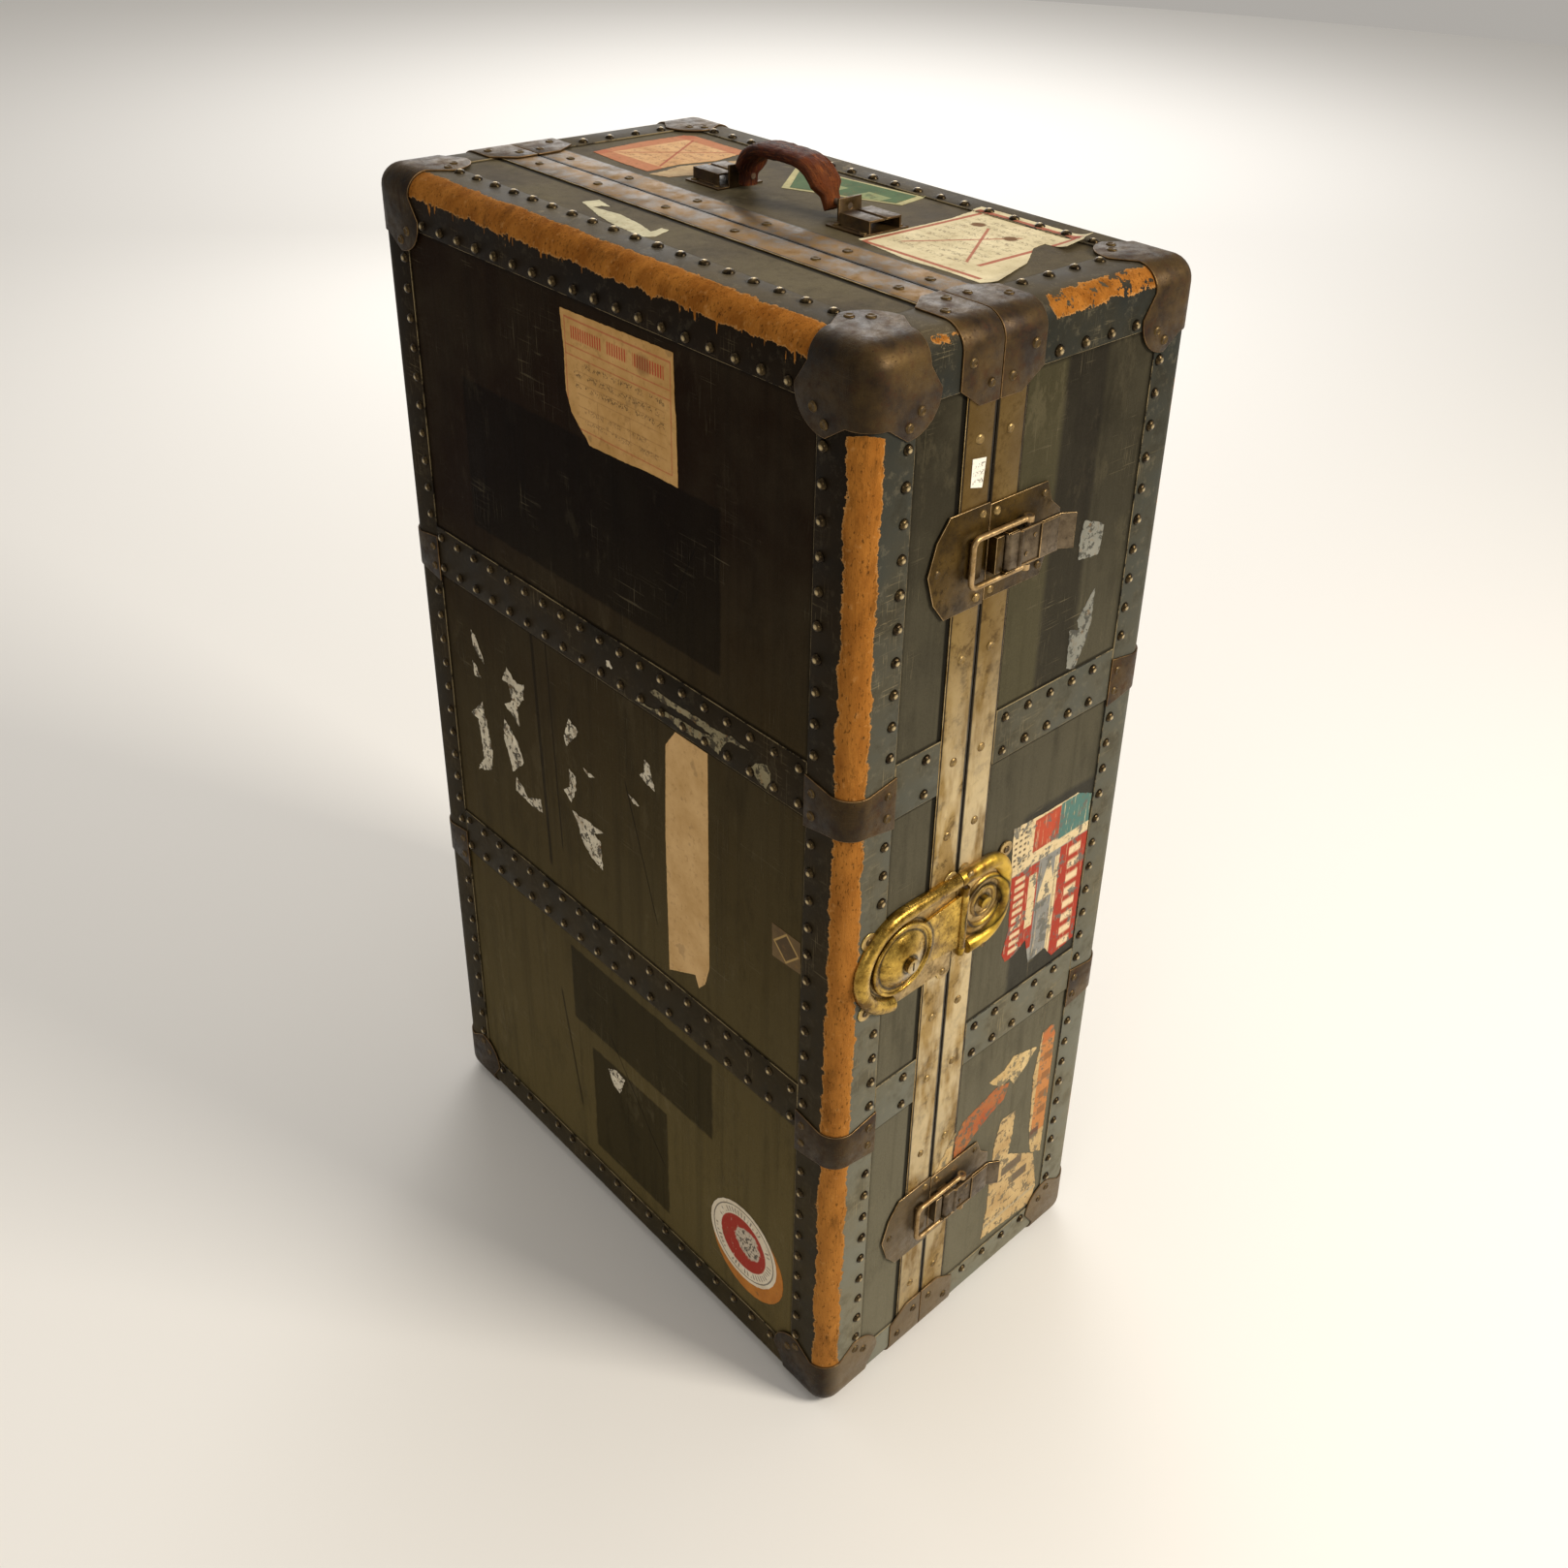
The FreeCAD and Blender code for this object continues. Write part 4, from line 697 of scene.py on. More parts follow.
# The edge finishes are rubbed metal, made brighter as a painted highlight.
hoop_edge_and_painted_highlight = aged_metal("rubbed hoop edge and painted highlight", "#cdb484", "#957845", "#5f431f", 0.35, 0.8, 0.02, grime=seam_painted_shade)
cap_steel = aged_metal("browned cap steel", "#54401f", "#281c10", "#442815", 0.42, 0.55, 0.03, 0.5, 0.5,
                       tint=paler_foot)
cap_edge_and_painted_highlight = aged_metal("rubbed cap edge and painted highlight", "#8c6f48", "#503c26", "#4a321c", 0.35, 0.75, 0.02)
bolt_bronze = aged_metal("bronzed bolt plate", "#574219", "#2f220c", "#1e1406", 0.34, 0.8, 0.03, 0.6,
                         tint=paler_foot)
bolt_edge_and_painted_highlight = aged_metal("rubbed bolt edge and painted highlight", "#bda075", "#84693f", "#4c371d", 0.28, 0.85, 0.02)
lever_steel = aged_metal("grey brown lever steel", "#726450", "#45392b", "#2f2519", 0.32, 0.85, 0.02)
lock_brass = aged_metal("polished lock brass", "#cfab52", "#6a4e1a", "#2a1c08", 0.20, 0.95, 0.018, 0.6,
                        grime=lock_groove_dirt_and_shade, tint=painted_disc_sheen)
lock_edge_and_painted_highlight = aged_metal("bright lock edge and painted highlight", "#f0dc9c", "#c9a952", "#7a5c22", 0.22, 0.95, 0.01, 0.3)
lock_plate_brass = aged_metal("worn lock plate", "#c2a670", "#7f673b", "#3a2912", 0.34, 0.85, 0.016,
                              grime=lock_groove_dirt_and_shade, tint=rolled_brass)
nail_bronze = aged_metal("dark nail bronze", "#55462c", "#231b11", "#100a05", 0.20, 0.85, 0.006,
                         tint=crown_glint_and_rim_shade)
rivet_brass = aged_metal("rivet brass", "#a58c5c", "#6b5532", "#2a1d10", 0.34, 0.85, 0.006, tint=rivet_colour)
hinge_steel = aged_metal("hinge steel", "#7a6a58", "#4f4338", "#6b3f22", 0.42, 0.75, 0.03)

# %% [markdown]
# ## Softening the pressed pieces
# CAD edges are perfectly sharp, and pressed metal never is: a narrow round edge catches the
# light. A copy of the CAD piece is merged into one skin, its flat triangles are joined, and a
# Bevel modifier rounds the edges with a second material, the rubbed edge, which is brighter,
# partly as a painted highlight. The result is baked into a plain mesh that stands for the CAD piece.


# %% Softened copies
smooth_below = math.radians(38)
bevel_above = math.radians(40)
weld_distance = 0.00002
flat_angle = math.radians(0.8)


def finished(piece, body, *replaced):
    """Bakes a piece's modifiers, shades it smooth and sets it on its body."""
    bpy.context.scene.collection.objects.link(piece)
    if piece.modifiers:
        seen = piece.evaluated_get(bpy.context.evaluated_depsgraph_get())
        baked = bpy.data.meshes.new_from_object(seen)
        piece.modifiers.clear()
        piece.data = baked
    piece.data.name = piece.name
    piece.data.shade_smooth()
    piece.data.set_sharp_from_angle(angle=smooth_below)
    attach(piece, body)
    if replaced:
        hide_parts(*replaced)
    print(piece.name, len(piece.data.polygons), "faces")
    return piece


def soft_edge(piece, width, **settings):
    """Rounds the sharp edges and gives them the piece's second finish."""
    bevel = piece.modifiers.new("edge", "BEVEL")
    bevel.width = width
    bevel.segments = 2
    bevel.limit_method = "ANGLE"
    bevel.material = 1
    for key, value in settings.items():
        setattr(bevel, key, value)


def softened(node, finish, edge_finish, width=0.0005):
    """The CAD piece with rounded, rubbed edges, brighter partly as a painted highlight."""
    skin = bmesh.new()
    skin.from_mesh(nodes[node].data)
    bmesh.ops.remove_doubles(skin, verts=skin.verts, dist=weld_distance)
    bmesh.ops.dissolve_degenerate(skin, dist=weld_distance, edges=skin.edges)
    bmesh.ops.dissolve_limit(skin, angle_limit=flat_angle, verts=skin.verts, edges=skin.edges)
    for face in skin.faces:
        face.material_index = 0
    piece = new_piece(node + "_soft", skin, finish, edge_finish)
    soft_edge(piece, width, angle_limit=bevel_above, use_clamp_overlap=True)
    finished(piece, body_of_node[node], node)


# %% Soften the strips and the fittings
for half in ("lid", "body"):
    for part in ("bindings", "cross_bands"):
        softened(f"{half}_{part}", binding_finish, fibre_edge_and_painted_highlight, 0.0004)
    softened(f"{half}_valance", hoop_brass, hoop_edge_and_painted_highlight, 0.0004)
    for part in ("corner_caps", "seam_clamps", "edge_clamps"):
        softened(f"{half}_{part}", cap_steel, cap_edge_and_painted_highlight)
    softened(f"{half}_lock_plate", lock_plate_brass, lock_edge_and_painted_highlight, 0.0004)
softened("lid_lock_border", lock_brass, lock_edge_and_painted_highlight, 0.0003)
for node in ("lid_catch_plates", "lid_catch_hooks", "bolt_bases", "bolt_stops", "bolt_ears"):
    softened(node, bolt_bronze, bolt_edge_and_painted_highlight, 0.0004)
for node in ("lower_lever", "upper_lever"):
    softened(node, lever_steel, bolt_edge_and_painted_highlight, 0.0006)
softened("hasp", lock_brass, lock_edge_and_painted_highlight, 0.0004)
softened("handle_brackets", cap_steel, cap_edge_and_painted_highlight)
for node in ("lower_bail", "upper_bail"):
    wear(node, bolt_edge_and_painted_highlight)
wear("key_plug", lock_brass)

# %% [markdown]
# ### Lever plates
# Each draw bolt's lever is a folded sheet: a ridge near its hinge, a riveted finger plate with
# a turned rim, and two small rivets. A ray shot at the CAD lever finds its face, and the
# details are built on it, so they swing with the lever.


# %% Tools for small metal details
def first_hit(node, start, way):
    """Where a ray first meets a CAD piece."""
    mesh = nodes[node].data
    tree = BVHTree.FromPolygons([vert.co for vert in mesh.vertices],
                                [face.vertices for face in mesh.polygons])
    return tree.ray_cast(Vector(start), Vector(way))[0]


def block(shape, low, high):
    """A box between two corners, added to a bmesh."""
    made = bmesh.ops.create_cube(shape, size=1.0)
    for vert in made["verts"]:
        vert.co = [a + (b - a) * (c + 0.5) for a, b, c in zip(low, high, vert.co)]


def rod(shape, start, end, radius, sides=16):
    """A round bar between two points, added to a bmesh."""
    way = Vector(end) - Vector(start)
    made = bmesh.ops.create_cone(shape, cap_ends=True, segments=sides, radius1=radius, radius2=radius,
                                 depth=way.length)
    turn = way.to_track_quat("Z", "Y").to_matrix()
    for vert in made["verts"]:
        vert.co = turn @ vert.co + (Vector(start) + Vector(end)) / 2


into_front, into_back, into_top = (0, 1, 0), (0, -1, 0), (0, 0, -1)
ray_start = 0.1
print("rays start", ray_start, "m outside the case")

# %% Lever plates
# Places along the lever are measured from its free end; heights are above its face.
ridge_place, ridge_radius, ridge_reach = 0.0135, 0.0021, 0.97
pad_start, pad_end, pad_height, pad_reach = 0.034, 0.0545, 0.0016, 0.98
rim_start, rim_height, rim_place, rim_half = 0.012, 0.0010, 0.99, 0.0007
stud_place, stud_offset, stud_share, stud_height, stud_radius = 0.0245, 0.004, 0.45, 0.0009, 0.0017
probe_place, sunk = 0.022, 0.0004


def lever_plate(node):
    low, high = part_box(node)
    mid_z = (low.z + high.z) / 2
    half = (high.z - low.z) / 2
    level = first_hit(node, (low.x + probe_place, case_low.y - ray_start, mid_z), into_front).y
    shape = bmesh.new()
    ridge_ends = [(low.x + ridge_place, level + sunk, mid_z + side * half * ridge_reach) for side in (-1, 1)]
    rod(shape, *ridge_ends, ridge_radius)
    block(shape, (low.x + pad_start, level - pad_height, mid_z - half * pad_reach),
          (low.x + pad_end, level + sunk, mid_z + half * pad_reach))
    for side in (-1, 1):
        rim_z = mid_z + side * half * rim_place
        block(shape, (low.x + rim_start, level - rim_height, rim_z - rim_half),
              (low.x + pad_start + 0.001, level + 0.0006, rim_z + rim_half))
        stud_x, stud_z = low.x + stud_place + side * stud_offset, mid_z + side * half * stud_share
        rod(shape, (stud_x, level + 0.0003, stud_z), (stud_x, level - stud_height, stud_z), stud_radius)
    piece = new_piece(node + "_plate", shape, lever_steel, bolt_edge_and_painted_highlight)
    soft_edge(piece, 0.0005)
    finished(piece, body_of_node[node])
    print(node, "face at y", round(level, 4))


for node in ("lower_lever", "upper_lever"):
    lever_plate(node)

# %% [markdown]
# ## Nails and rivets
# Nearly 800 nail and rivet heads hold bindings, bands, corners and fittings. They differ only in
# size and in how hollow they are, so they are made with Geometry Nodes. The places are read
# from the CAD: each loose head gives a seat point and the way it faces. The node tree makes one
# head from a flattened sphere, sets it on every seat with a little tilt and turn, and joins the
# copies into a plain mesh.

# %% Read the seats of the heads
def loose_pieces(node):
    """The lowest and highest corners of each loose piece in a CAD node."""
    mesh = nodes[node].data
    places = np.empty(len(mesh.vertices) * 3)
    mesh.vertices.foreach_get("co", places)
    places = places.reshape(-1, 3)
    keys, same = np.unique(np.round(places * 1e5).astype(int), axis=0, return_inverse=True)
    corners = np.empty(len(mesh.loops), dtype=int)
    mesh.loops.foreach_get("vertex_index", corners)
    faces = same.reshape(-1)[corners].reshape(-1, 3)
    label = np.arange(len(keys))
    while True:
        least = np.repeat(label[faces].min(axis=1), 3)
        joined = label.copy()
        np.minimum.at(joined, faces.ravel(), least)
        joined = joined[joined]
        if np.array_equal(joined, label):
            break
        label = joined
    found = []
    for piece in np.unique(label):
        spots = keys[label == piece] / 1e5
        found.append((spots.min(axis=0), spots.max(axis=0)))
    return found


def head_seats(node):
    """Each head's seat, outward direction, radius and height."""
    seats = []
    for low, high in loose_pieces(node):
        size = high - low
        axis = int(np.argmin(size))
        centre = (low + high) / 2
        side = 1 if centre[axis] > case_middle[axis] else -1
        outward = np.zeros(3)
        outward[axis] = side
        seat = centre - outward * size[axis] / 2
        seats.append((seat, outward, np.delete(size, axis).mean() / 2, size[axis]))
    return seats


# %% [markdown]
# ### The tree that sets the heads
# The inputs of the tree have names, as on a form: the seats, the radius and height of a head,
# how hollow it is, how uneven the heads are, a seed and a finish. A flattened sphere becomes
# the head: its upper half is a dome, or a ring where it is hollow. The height of each point is
# stored as "crown", so that the finish can paint a glint on the rubbed crown and shade with dirt
# round the rim.

# %% Geometry Nodes tree for a head
head_inputs = (("Seats", "NodeSocketGeometry", None), ("Head radius", "NodeSocketFloat", 0.0045),
               ("Head height", "NodeSocketFloat", 0.003), ("Hollow", "NodeSocketFloat", 0.0),
               ("Unevenness", "NodeSocketFloat", 0.06), ("Seed", "NodeSocketInt", 7),
               ("Finish", "NodeSocketMaterial", None))
ring_place, ring_width, ring_floor = 0.68, 0.36, 0.3
most_lean = 0.07


def head_tree():
    """A tree that sets one head, domed or with a hollow middle, on every seat."""
    tree = bpy.data.node_groups.new("set heads", "GeometryNodeTree")
    for name, kind, first in head_inputs:
        socket = tree.interface.new_socket(name, in_out="INPUT", socket_type=kind)
        if first is not None:
            socket.default_value = first
    tree.interface.new_socket("Heads", in_out="OUTPUT", socket_type="NodeSocketGeometry")
    given = tree.nodes.new("NodeGroupInput").outputs

    def make(kind, inputs=(), **settings):
        node = tree.nodes.new(kind)
        for key, value in settings.items():
            setattr(node, key, value)
        for name, value in dict(inputs).items():
            if isinstance(value, bpy.types.NodeSocket):
                tree.links.new(value, node.inputs[name])
            else:
                node.inputs[name].default_value = value
        return node.outputs

    def reckon(operation, first, second=0.0):
        return make("ShaderNodeMath", {0: first, 1: second}, operation=operation)[0]

    ball = make("GeometryNodeMeshUVSphere", {"Segments": 12, "Rings": 8, "Radius": 1.0})[0]
    x, y, z = make("ShaderNodeSeparateXYZ", {0: make("GeometryNodeInputPosition")[0]})
    from_axis = reckon("SQRT", reckon("ADD", reckon("MULTIPLY", x, x), reckon("MULTIPLY", y, y)))
    off_ring = reckon("DIVIDE", reckon("SUBTRACT", from_axis, ring_place), ring_width)
    ring = reckon("MAXIMUM", reckon("SUBTRACT", 1.0, reckon("MULTIPLY", off_ring, off_ring)), ring_floor)
    above = reckon("GREATER_THAN", z, 0.01)
    dome = reckon("MULTIPLY", reckon("MAXIMUM", z, 0.0), reckon("SUBTRACT", 1.0, given["Hollow"]))
    relief = reckon("MULTIPLY", reckon("ADD", dome, reckon("MULTIPLY", ring, given["Hollow"])), above)
    place = make("ShaderNodeCombineXYZ", {"X": reckon("MULTIPLY", x, given["Head radius"]),
                                          "Y": reckon("MULTIPLY", y, given["Head radius"]),
                                          "Z": reckon("MULTIPLY", relief, given["Head height"])})[0]
    marked = make("GeometryNodeStoreNamedAttribute", {"Geometry": ball, "Name": "crown", "Value": relief},
                  data_type="FLOAT", domain="POINT")[0]
    head = make("GeometryNodeSetPosition", {"Geometry": marked, "Position": place})[0]
    seed = given["Seed"]
    lean = make("FunctionNodeRandomValue", {0: (-most_lean,) * 3, 1: (most_lean,) * 3, "Seed": seed},
                data_type="FLOAT_VECTOR")[0]
    facing = make("GeometryNodeInputNamedAttribute", {"Name": "outward"}, data_type="FLOAT_VECTOR")[0]
    leaning = make("ShaderNodeVectorMath", {0: facing, 1: lean}, operation="ADD")[0]
    turned = make("FunctionNodeAlignRotationToVector", {"Vector": leaning}, axis="Z")[0]
    size = make("FunctionNodeRandomValue", {2: reckon("SUBTRACT", 1.0, given["Unevenness"]),
                                            3: reckon("ADD", 1.0, given["Unevenness"]), "Seed": seed},
                data_type="FLOAT")[1]
    heads = make("GeometryNodeInstanceOnPoints", {"Points": given["Seats"], "Instance": head,
                                                  "Rotation": turned, "Scale": size})[0]
    real = make("GeometryNodeRealizeInstances", {"Geometry": heads})[0]
    dressed = make("GeometryNodeSetMaterial", {"Geometry": real, "Material": given["Finish"]})[0]
    tree.links.new(dressed, tree.nodes.new("NodeGroupOutput").inputs[0])
    return tree


heads = head_tree()
print("tree with", len(heads.nodes), "nodes")


# %% Set the nails and rivets
def set_heads(name, body, seats, finish, hollow=0.0, replaced=()):
    """One mesh of heads on one body, made by the tree."""
    mesh = bpy.data.meshes.new(name)
    mesh.from_pydata([tuple(seat) for seat, _, _, _ in seats], [], [])
    outward = mesh.attributes.new("outward", "FLOAT_VECTOR", "POINT")
    outward.data.foreach_set("vector", np.concatenate([way for _, way, _, _ in seats]))
    piece = bpy.data.objects.new(name, mesh)
    modifier = piece.modifiers.new("heads", "NODES")
    modifier.node_group = heads
    wanted = {"Head radius": float(np.median([seat[2] for seat in seats])),
              "Head height": float(np.median([seat[3] for seat in seats])),
              "Hollow": hollow, "Finish": finish}
    for item in heads.interface.items_tree:
        if item.item_type == "SOCKET" and item.name in wanted:
            modifier[item.identifier] = wanted[item.name]
    print(len(seats), "heads on", name)
    finished(piece, body, *replaced)


for half in ("lid", "body"):
    nails, rivets = f"{half}_nails", f"{half}_rivets"
    body = body_of_node[nails]
    seats = head_seats(nails)
    foot = [seat for seat in seats if seat[1][2] < 0]
    standing = [seat for seat in seats if seat[1][2] >= 0]
    set_heads(f"{half}_nail_heads", body, standing, nail_bronze, replaced=(nails,))
    set_heads(f"{half}_foot_nail_heads", body, foot, nail_bronze)
    set_heads(f"{half}_rivet_heads", body, head_seats(rivets), rivet_brass, 0.8, (rivets,))

# %% [markdown]
# ### Rivets of the fittings
# Lock plates, draw bolts, hinges and handle brackets are riveted on as well. The CAD model has
# plain plates there, so a ray is shot at the plate for each rivet, and the head is set where
# the ray lands. The places are small offsets from the seam, the bolts, the hinges and the lock.

# %% Rivets of the fittings
fitting_rivet_radius, fitting_rivet_height, proud_seat = 0.0036, 0.0014, 0.0002


def rivet_fitting(node, places, way):
    """Rivets on one fitting, at places given as (x, z), or as (x, y) on the top."""
    seats = []
    outward = -np.array(way, dtype=float)
    for a, b in places:
        if way == into_top:
            start = (a, b, case_high.z + ray_start)
        else:
            start = (a, case_low.y - ray_start if way == into_front else case_high.y + ray_start, b)
        seat = np.array(first_hit(node, start, way)) - outward * proud_seat
        seats.append((seat, outward, fitting_rivet_radius, fitting_rivet_height))
    set_heads(node + "_rivet_heads", body_of_node[node], seats, rivet_brass, 0.6)


def around(centres, *offsets, start=seam_x):
    """Places at the same offsets from a line along the trunk, the seam, and from centres on it."""
    return [(start + a, z + b) for z in centres for a, b in offsets]


def pair(a, b):
    return (a, b), (a, -b)


bolt_centres = [(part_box(node)[0].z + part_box(node)[1].z) / 2 for node in ("lower_lever", "upper_lever")]
rivet_fitting("lid_catch_plates", around(bolt_centres, *pair(-0.0075, 0.033), (-0.051, 0.0)), into_front)
rivet_fitting("bolt_bases", around(bolt_centres, *pair(0.0075, 0.031), *pair(0.060, 0.029)), into_front)
lug_place, lug_reach, disc_reach = 0.0090, 0.047, 0.036
disc_rivets = pair(lid_disc_x - seam_x - disc_reach, disc_reach)
rivet_fitting("lid_lock_plate", around([lock_z], *pair(-lug_place, lug_reach), *disc_rivets), into_front)
body_lugs = ((lug_place, lug_reach), (0.059, 0.0432), (0.033, -0.038))
rivet_fitting("body_lock_plate", around([lock_z], *body_lugs), into_front)
hinge_centres = [case_low.z + (case_high.z - case_low.z) * share for share in (0.16, 0.5, 0.84)]
outer_inset, inner_inset, hinge_reach = 0.008, 0.022, 0.021
for node, corner, inwards in (("lid_hinge_leaves", 0, 1), ("body_hinge_leaves", 1, -1)):
    places = around(hinge_centres, *pair(inwards * outer_inset, hinge_reach), (inwards * inner_inset, 0.0),
                    start=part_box(node)[corner].x)
    rivet_fitting(node, places, into_back)
bracket_low, bracket_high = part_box("handle_brackets")
side_inset, end_insets = 0.005, (0.006, 0.035)
rivet_fitting("handle_brackets", [(a, b) for a in (bracket_low.x + side_inset, bracket_high.x - side_inset)
                                  for b in (*[bracket_low.y + inset for inset in end_insets],
                                            *[bracket_high.y - inset for inset in end_insets])], into_top)

# %% [markdown]
# ## Leather handle
# The handle is a thick strap of harness leather, bent to an arch and darkened by hands. A
# rounded section is swept along the arch in code, because its width and thickness change on
# the way: narrow at the pins, broad in the hand. Small noise across the section gives the
# wrinkles and the split fibres of old leather. The UV map runs along and round the strap, so
# that the finish can follow it.

# %% The arch of the handle
strap_low, strap_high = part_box("handle_strap")
strap_half_thickness = 0.0065
strap_half_width = (strap_high.x - strap_low.x) / 2
strap_x = (strap_low.x + strap_high.x) / 2
crown_z = strap_high.z - strap_half_thickness
near_foot_y = strap_low.y + 0.0074
far_foot_y = strap_high.y - strap_half_thickness
near_lean = 0.0171
arch = [Vector(point) for point in ((near_foot_y, strap_low.z), (near_foot_y + near_lean, crown_z),
                                    (far_foot_y, crown_z), (far_foot_y, strap_low.z))]
bend_radii = (0.038, 0.034)
bend_points = 12


def arch_line(stations):
    """Points along the arch in the YZ plane, with its two bends rounded, and its length."""
    route = [arch[0]]
    for before, corner, after, radius in zip(arch, arch[1:], arch[2:], bend_radii):
        into, out = (corner - before).normalized(), (after - corner).normalized()
        reach = radius * math.tan(math.acos(max(-1, min(1, into.dot(out)))) / 2)
        start, end = corner - into * reach, corner + out * reach
        for share in (index / bend_points for index in range(bend_points + 1)):
            pull = (1 - share) ** 2, 2 * share * (1 - share), share ** 2
            route.append(start * pull[0] + corner * pull[1] + end * pull[2])
    route.append(arch[3])
    lengths = [0.0]
    for before, after in zip(route, route[1:]):
        lengths.append(lengths[-1] + (after - before).length)
    wanted = np.linspace(0.0, lengths[-1], stations)
    spaced = [np.interp(wanted, lengths, [point[axis] for point in route]) for axis in (0, 1)]
    return [Vector(point) for point in zip(*spaced)], lengths[-1]


print("handle is", round(arch_line(2)[1], 4), "m long")

# %% Leather of the handle
stations, ring = 110, 36
foot_half_width, flare_start, flare_length = 0.0080, 0.010, 0.010
hand_half_width = strap_half_width - 0.0002
foot_thickness, hand_thickness = 0.80, 0.90
side_roundness, top_roundness = 0.62, 0.72
wrinkle = 0.0006
girth = 0.075


def rounded(value, power):
    return math.copysign(abs(value) ** power, value)


def leather_section(index, spot, ahead, from_foot):
    """The points round the strap at one station: narrow at the pins, broad in the hand."""
    flare = min(1.0, max(0.0, (from_foot - flare_start) / flare_length))
    flare = flare * flare * (3 - 2 * flare)
    width = foot_half_width + (hand_half_width - foot_half_width) * flare
    thick = strap_half_thickness * (foot_thickness + (hand_thickness - foot_thickness) * flare)
    across = Vector((-ahead.y, ahead.x))
    for step in range(ring):
        angle = 2 * math.pi * step / ring
        c, s = math.cos(angle), math.sin(angle)
        side, out = rounded(c, side_roundness) * width, rounded(s, top_roundness) * thick
        rough = noise.fractal(Vector((side * 600, index * 0.05, out * 300)), 1.0, 2.0, 4) * wrinkle
        crease = noise.noise(Vector((side * 150, index * 0.30, out * 90))) * wrinkle
        out += (rough + crease) * (1 if s > 0 else -1) * abs(s)
        yield strap_x + side, spot.x + across.x * out, spot.y + across.y * out


def handle_leather(finish):
    """The strap swept along its arch, with a UV map along and round it."""
    line, length = arch_line(stations)
    shape = bmesh.new()
    rows = []
    for index, spot in enumerate(line):
        ahead = (line[min(index + 1, stations - 1)] - line[max(index - 1, 0)]).normalized()
        from_foot = min(index, stations - 1 - index) / (stations - 1) * length
        rows.append([shape.verts.new(point) for point in leather_section(index, spot, ahead, from_foot)])
    uv = shape.loops.layers.uv.new("UVMap")
    for index, (row, after) in enumerate(zip(rows, rows[1:])):
        for step in range(ring):
            beside = (step + 1) % ring
            face = shape.faces.new((row[step], row[beside], after[beside], after[step]))
            corners = ((index, step), (index, step + 1), (index + 1, step + 1), (index + 1, step))
            for loop, (station, around_it) in zip(face.loops, corners):
                loop[uv].uv = station / (stations - 1) * length, around_it / ring * girth
    for station in (0, stations - 1):
        for step, loop in enumerate(shape.faces.new(rows[station]).loops):
            loop[uv].uv = station / (stations - 1) * length, (step or ring) / ring * girth
    bmesh.ops.recalc_face_normals(shape, faces=shape.faces)
    return new_piece("handle_leather", shape, finish)


# %% Leather finish
def harness_leather():
    f = Finish("old harness leather", 0.5, sheen=0.15)
    along = f.make("ShaderNodeUVMap", []).outputs[0]
    fibres = f.grain((0.012, 0.0014, 1.0), 5.0, 0.75, place=along)
    cracks = f.grain((0.0016, 0.004, 1.0), 4.0, 0.65, place=along)
    wear_clouds = f.grain(0.014, 4.0, 0.6)
    near_leg = f.fall(f.y, strap_low.y + 0.004, strap_low.y + 0.045)
    tone = f.mix(f.step(wear_clouds, 0.35, 0.7), "#270c05", "#56210c")
    tone = f.lay(tone, "#7c4116", near_leg, 0.6)
    tone = f.lay(tone, "#a9622a", f.step(fibres, 0.52, 0.7), 0.65)
    tone = f.darken(tone, f.fall(fibres, 0.3, 0.46), 0.65)
    tone = f.darken(tone, f.step(cracks, 0.58, 0.7), 0.6)
    relief = f.add(f.times(fibres, 1.6), f.times(cracks, -0.9), f.times(f.grain(0.0007, 3.0), 0.3))
    return f.done(tone, f.add(0.35, f.times(wear_clouds, 0.4)), relief, 0.0014)


handle = handle_leather(harness_leather())
finished(handle, body_of_node["handle_strap"], "handle_strap")

# %% [markdown]
# ## Labels, tape and torn scraps
# Each label is a thin sheet of paper. Its outline is given on the side that it is pasted on,
# as a few corners in millimetres. The sheet is cut fine, its border is torn a little with
# noise, and each point is laid on what lies beneath: the cover, or the thicker binding.
# The prints are generic: bars, rules and blots in the colours of old labels.

# %% What lies under the paper
# For each side: the axes across and along it, the outward axis, and the way it faces.
side_axes = {"broad": (1, 2, 0, -1), "front": (0, 2, 1, -1), "top": (0, 1, 2, 1)}
body_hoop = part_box("body_valance")
hoop_reach = body_hoop[1].x - body_hoop[0].x + 0.0010
hoop_level = {"front": body_hoop[0].y, "top": body_hoop[1].z}
overlap = 0.0004


def laid_level(side, a, b):
    """The outward coordinate of the surface under a point of a side."""
    across, along, outward, sign = side_axes[side]
    bound = binding_width - overlap
    if side != "broad" and abs(a - seam_x) < hoop_reach:
        return hoop_level[side]
    on_strip = (a > case_high[across] - bound or a < case_low[across] + bound or
                b > case_high[along] - bound or b < case_low[along] + bound or
                side != "top" and any(low < b < high for low, high in band_levels))
    low, high = (case_low, case_high) if on_strip else (cover_low, cover_high)
    return (low if sign < 0 else high)[outward]


print("paper on the front hoop lies at y", round(hoop_level["front"], 4))

# %% Cut a sheet of paper
paper_thickness, glue, buckle_height = 0.00022, 0.00003, 0.00008
torn_step, torn_grain = 2.5, 0.35
buckle_grain = 60
tear_seed = 246  # with it no tear crosses itself; with none, the tears would start from the clock
noise.seed_set(tear_seed)


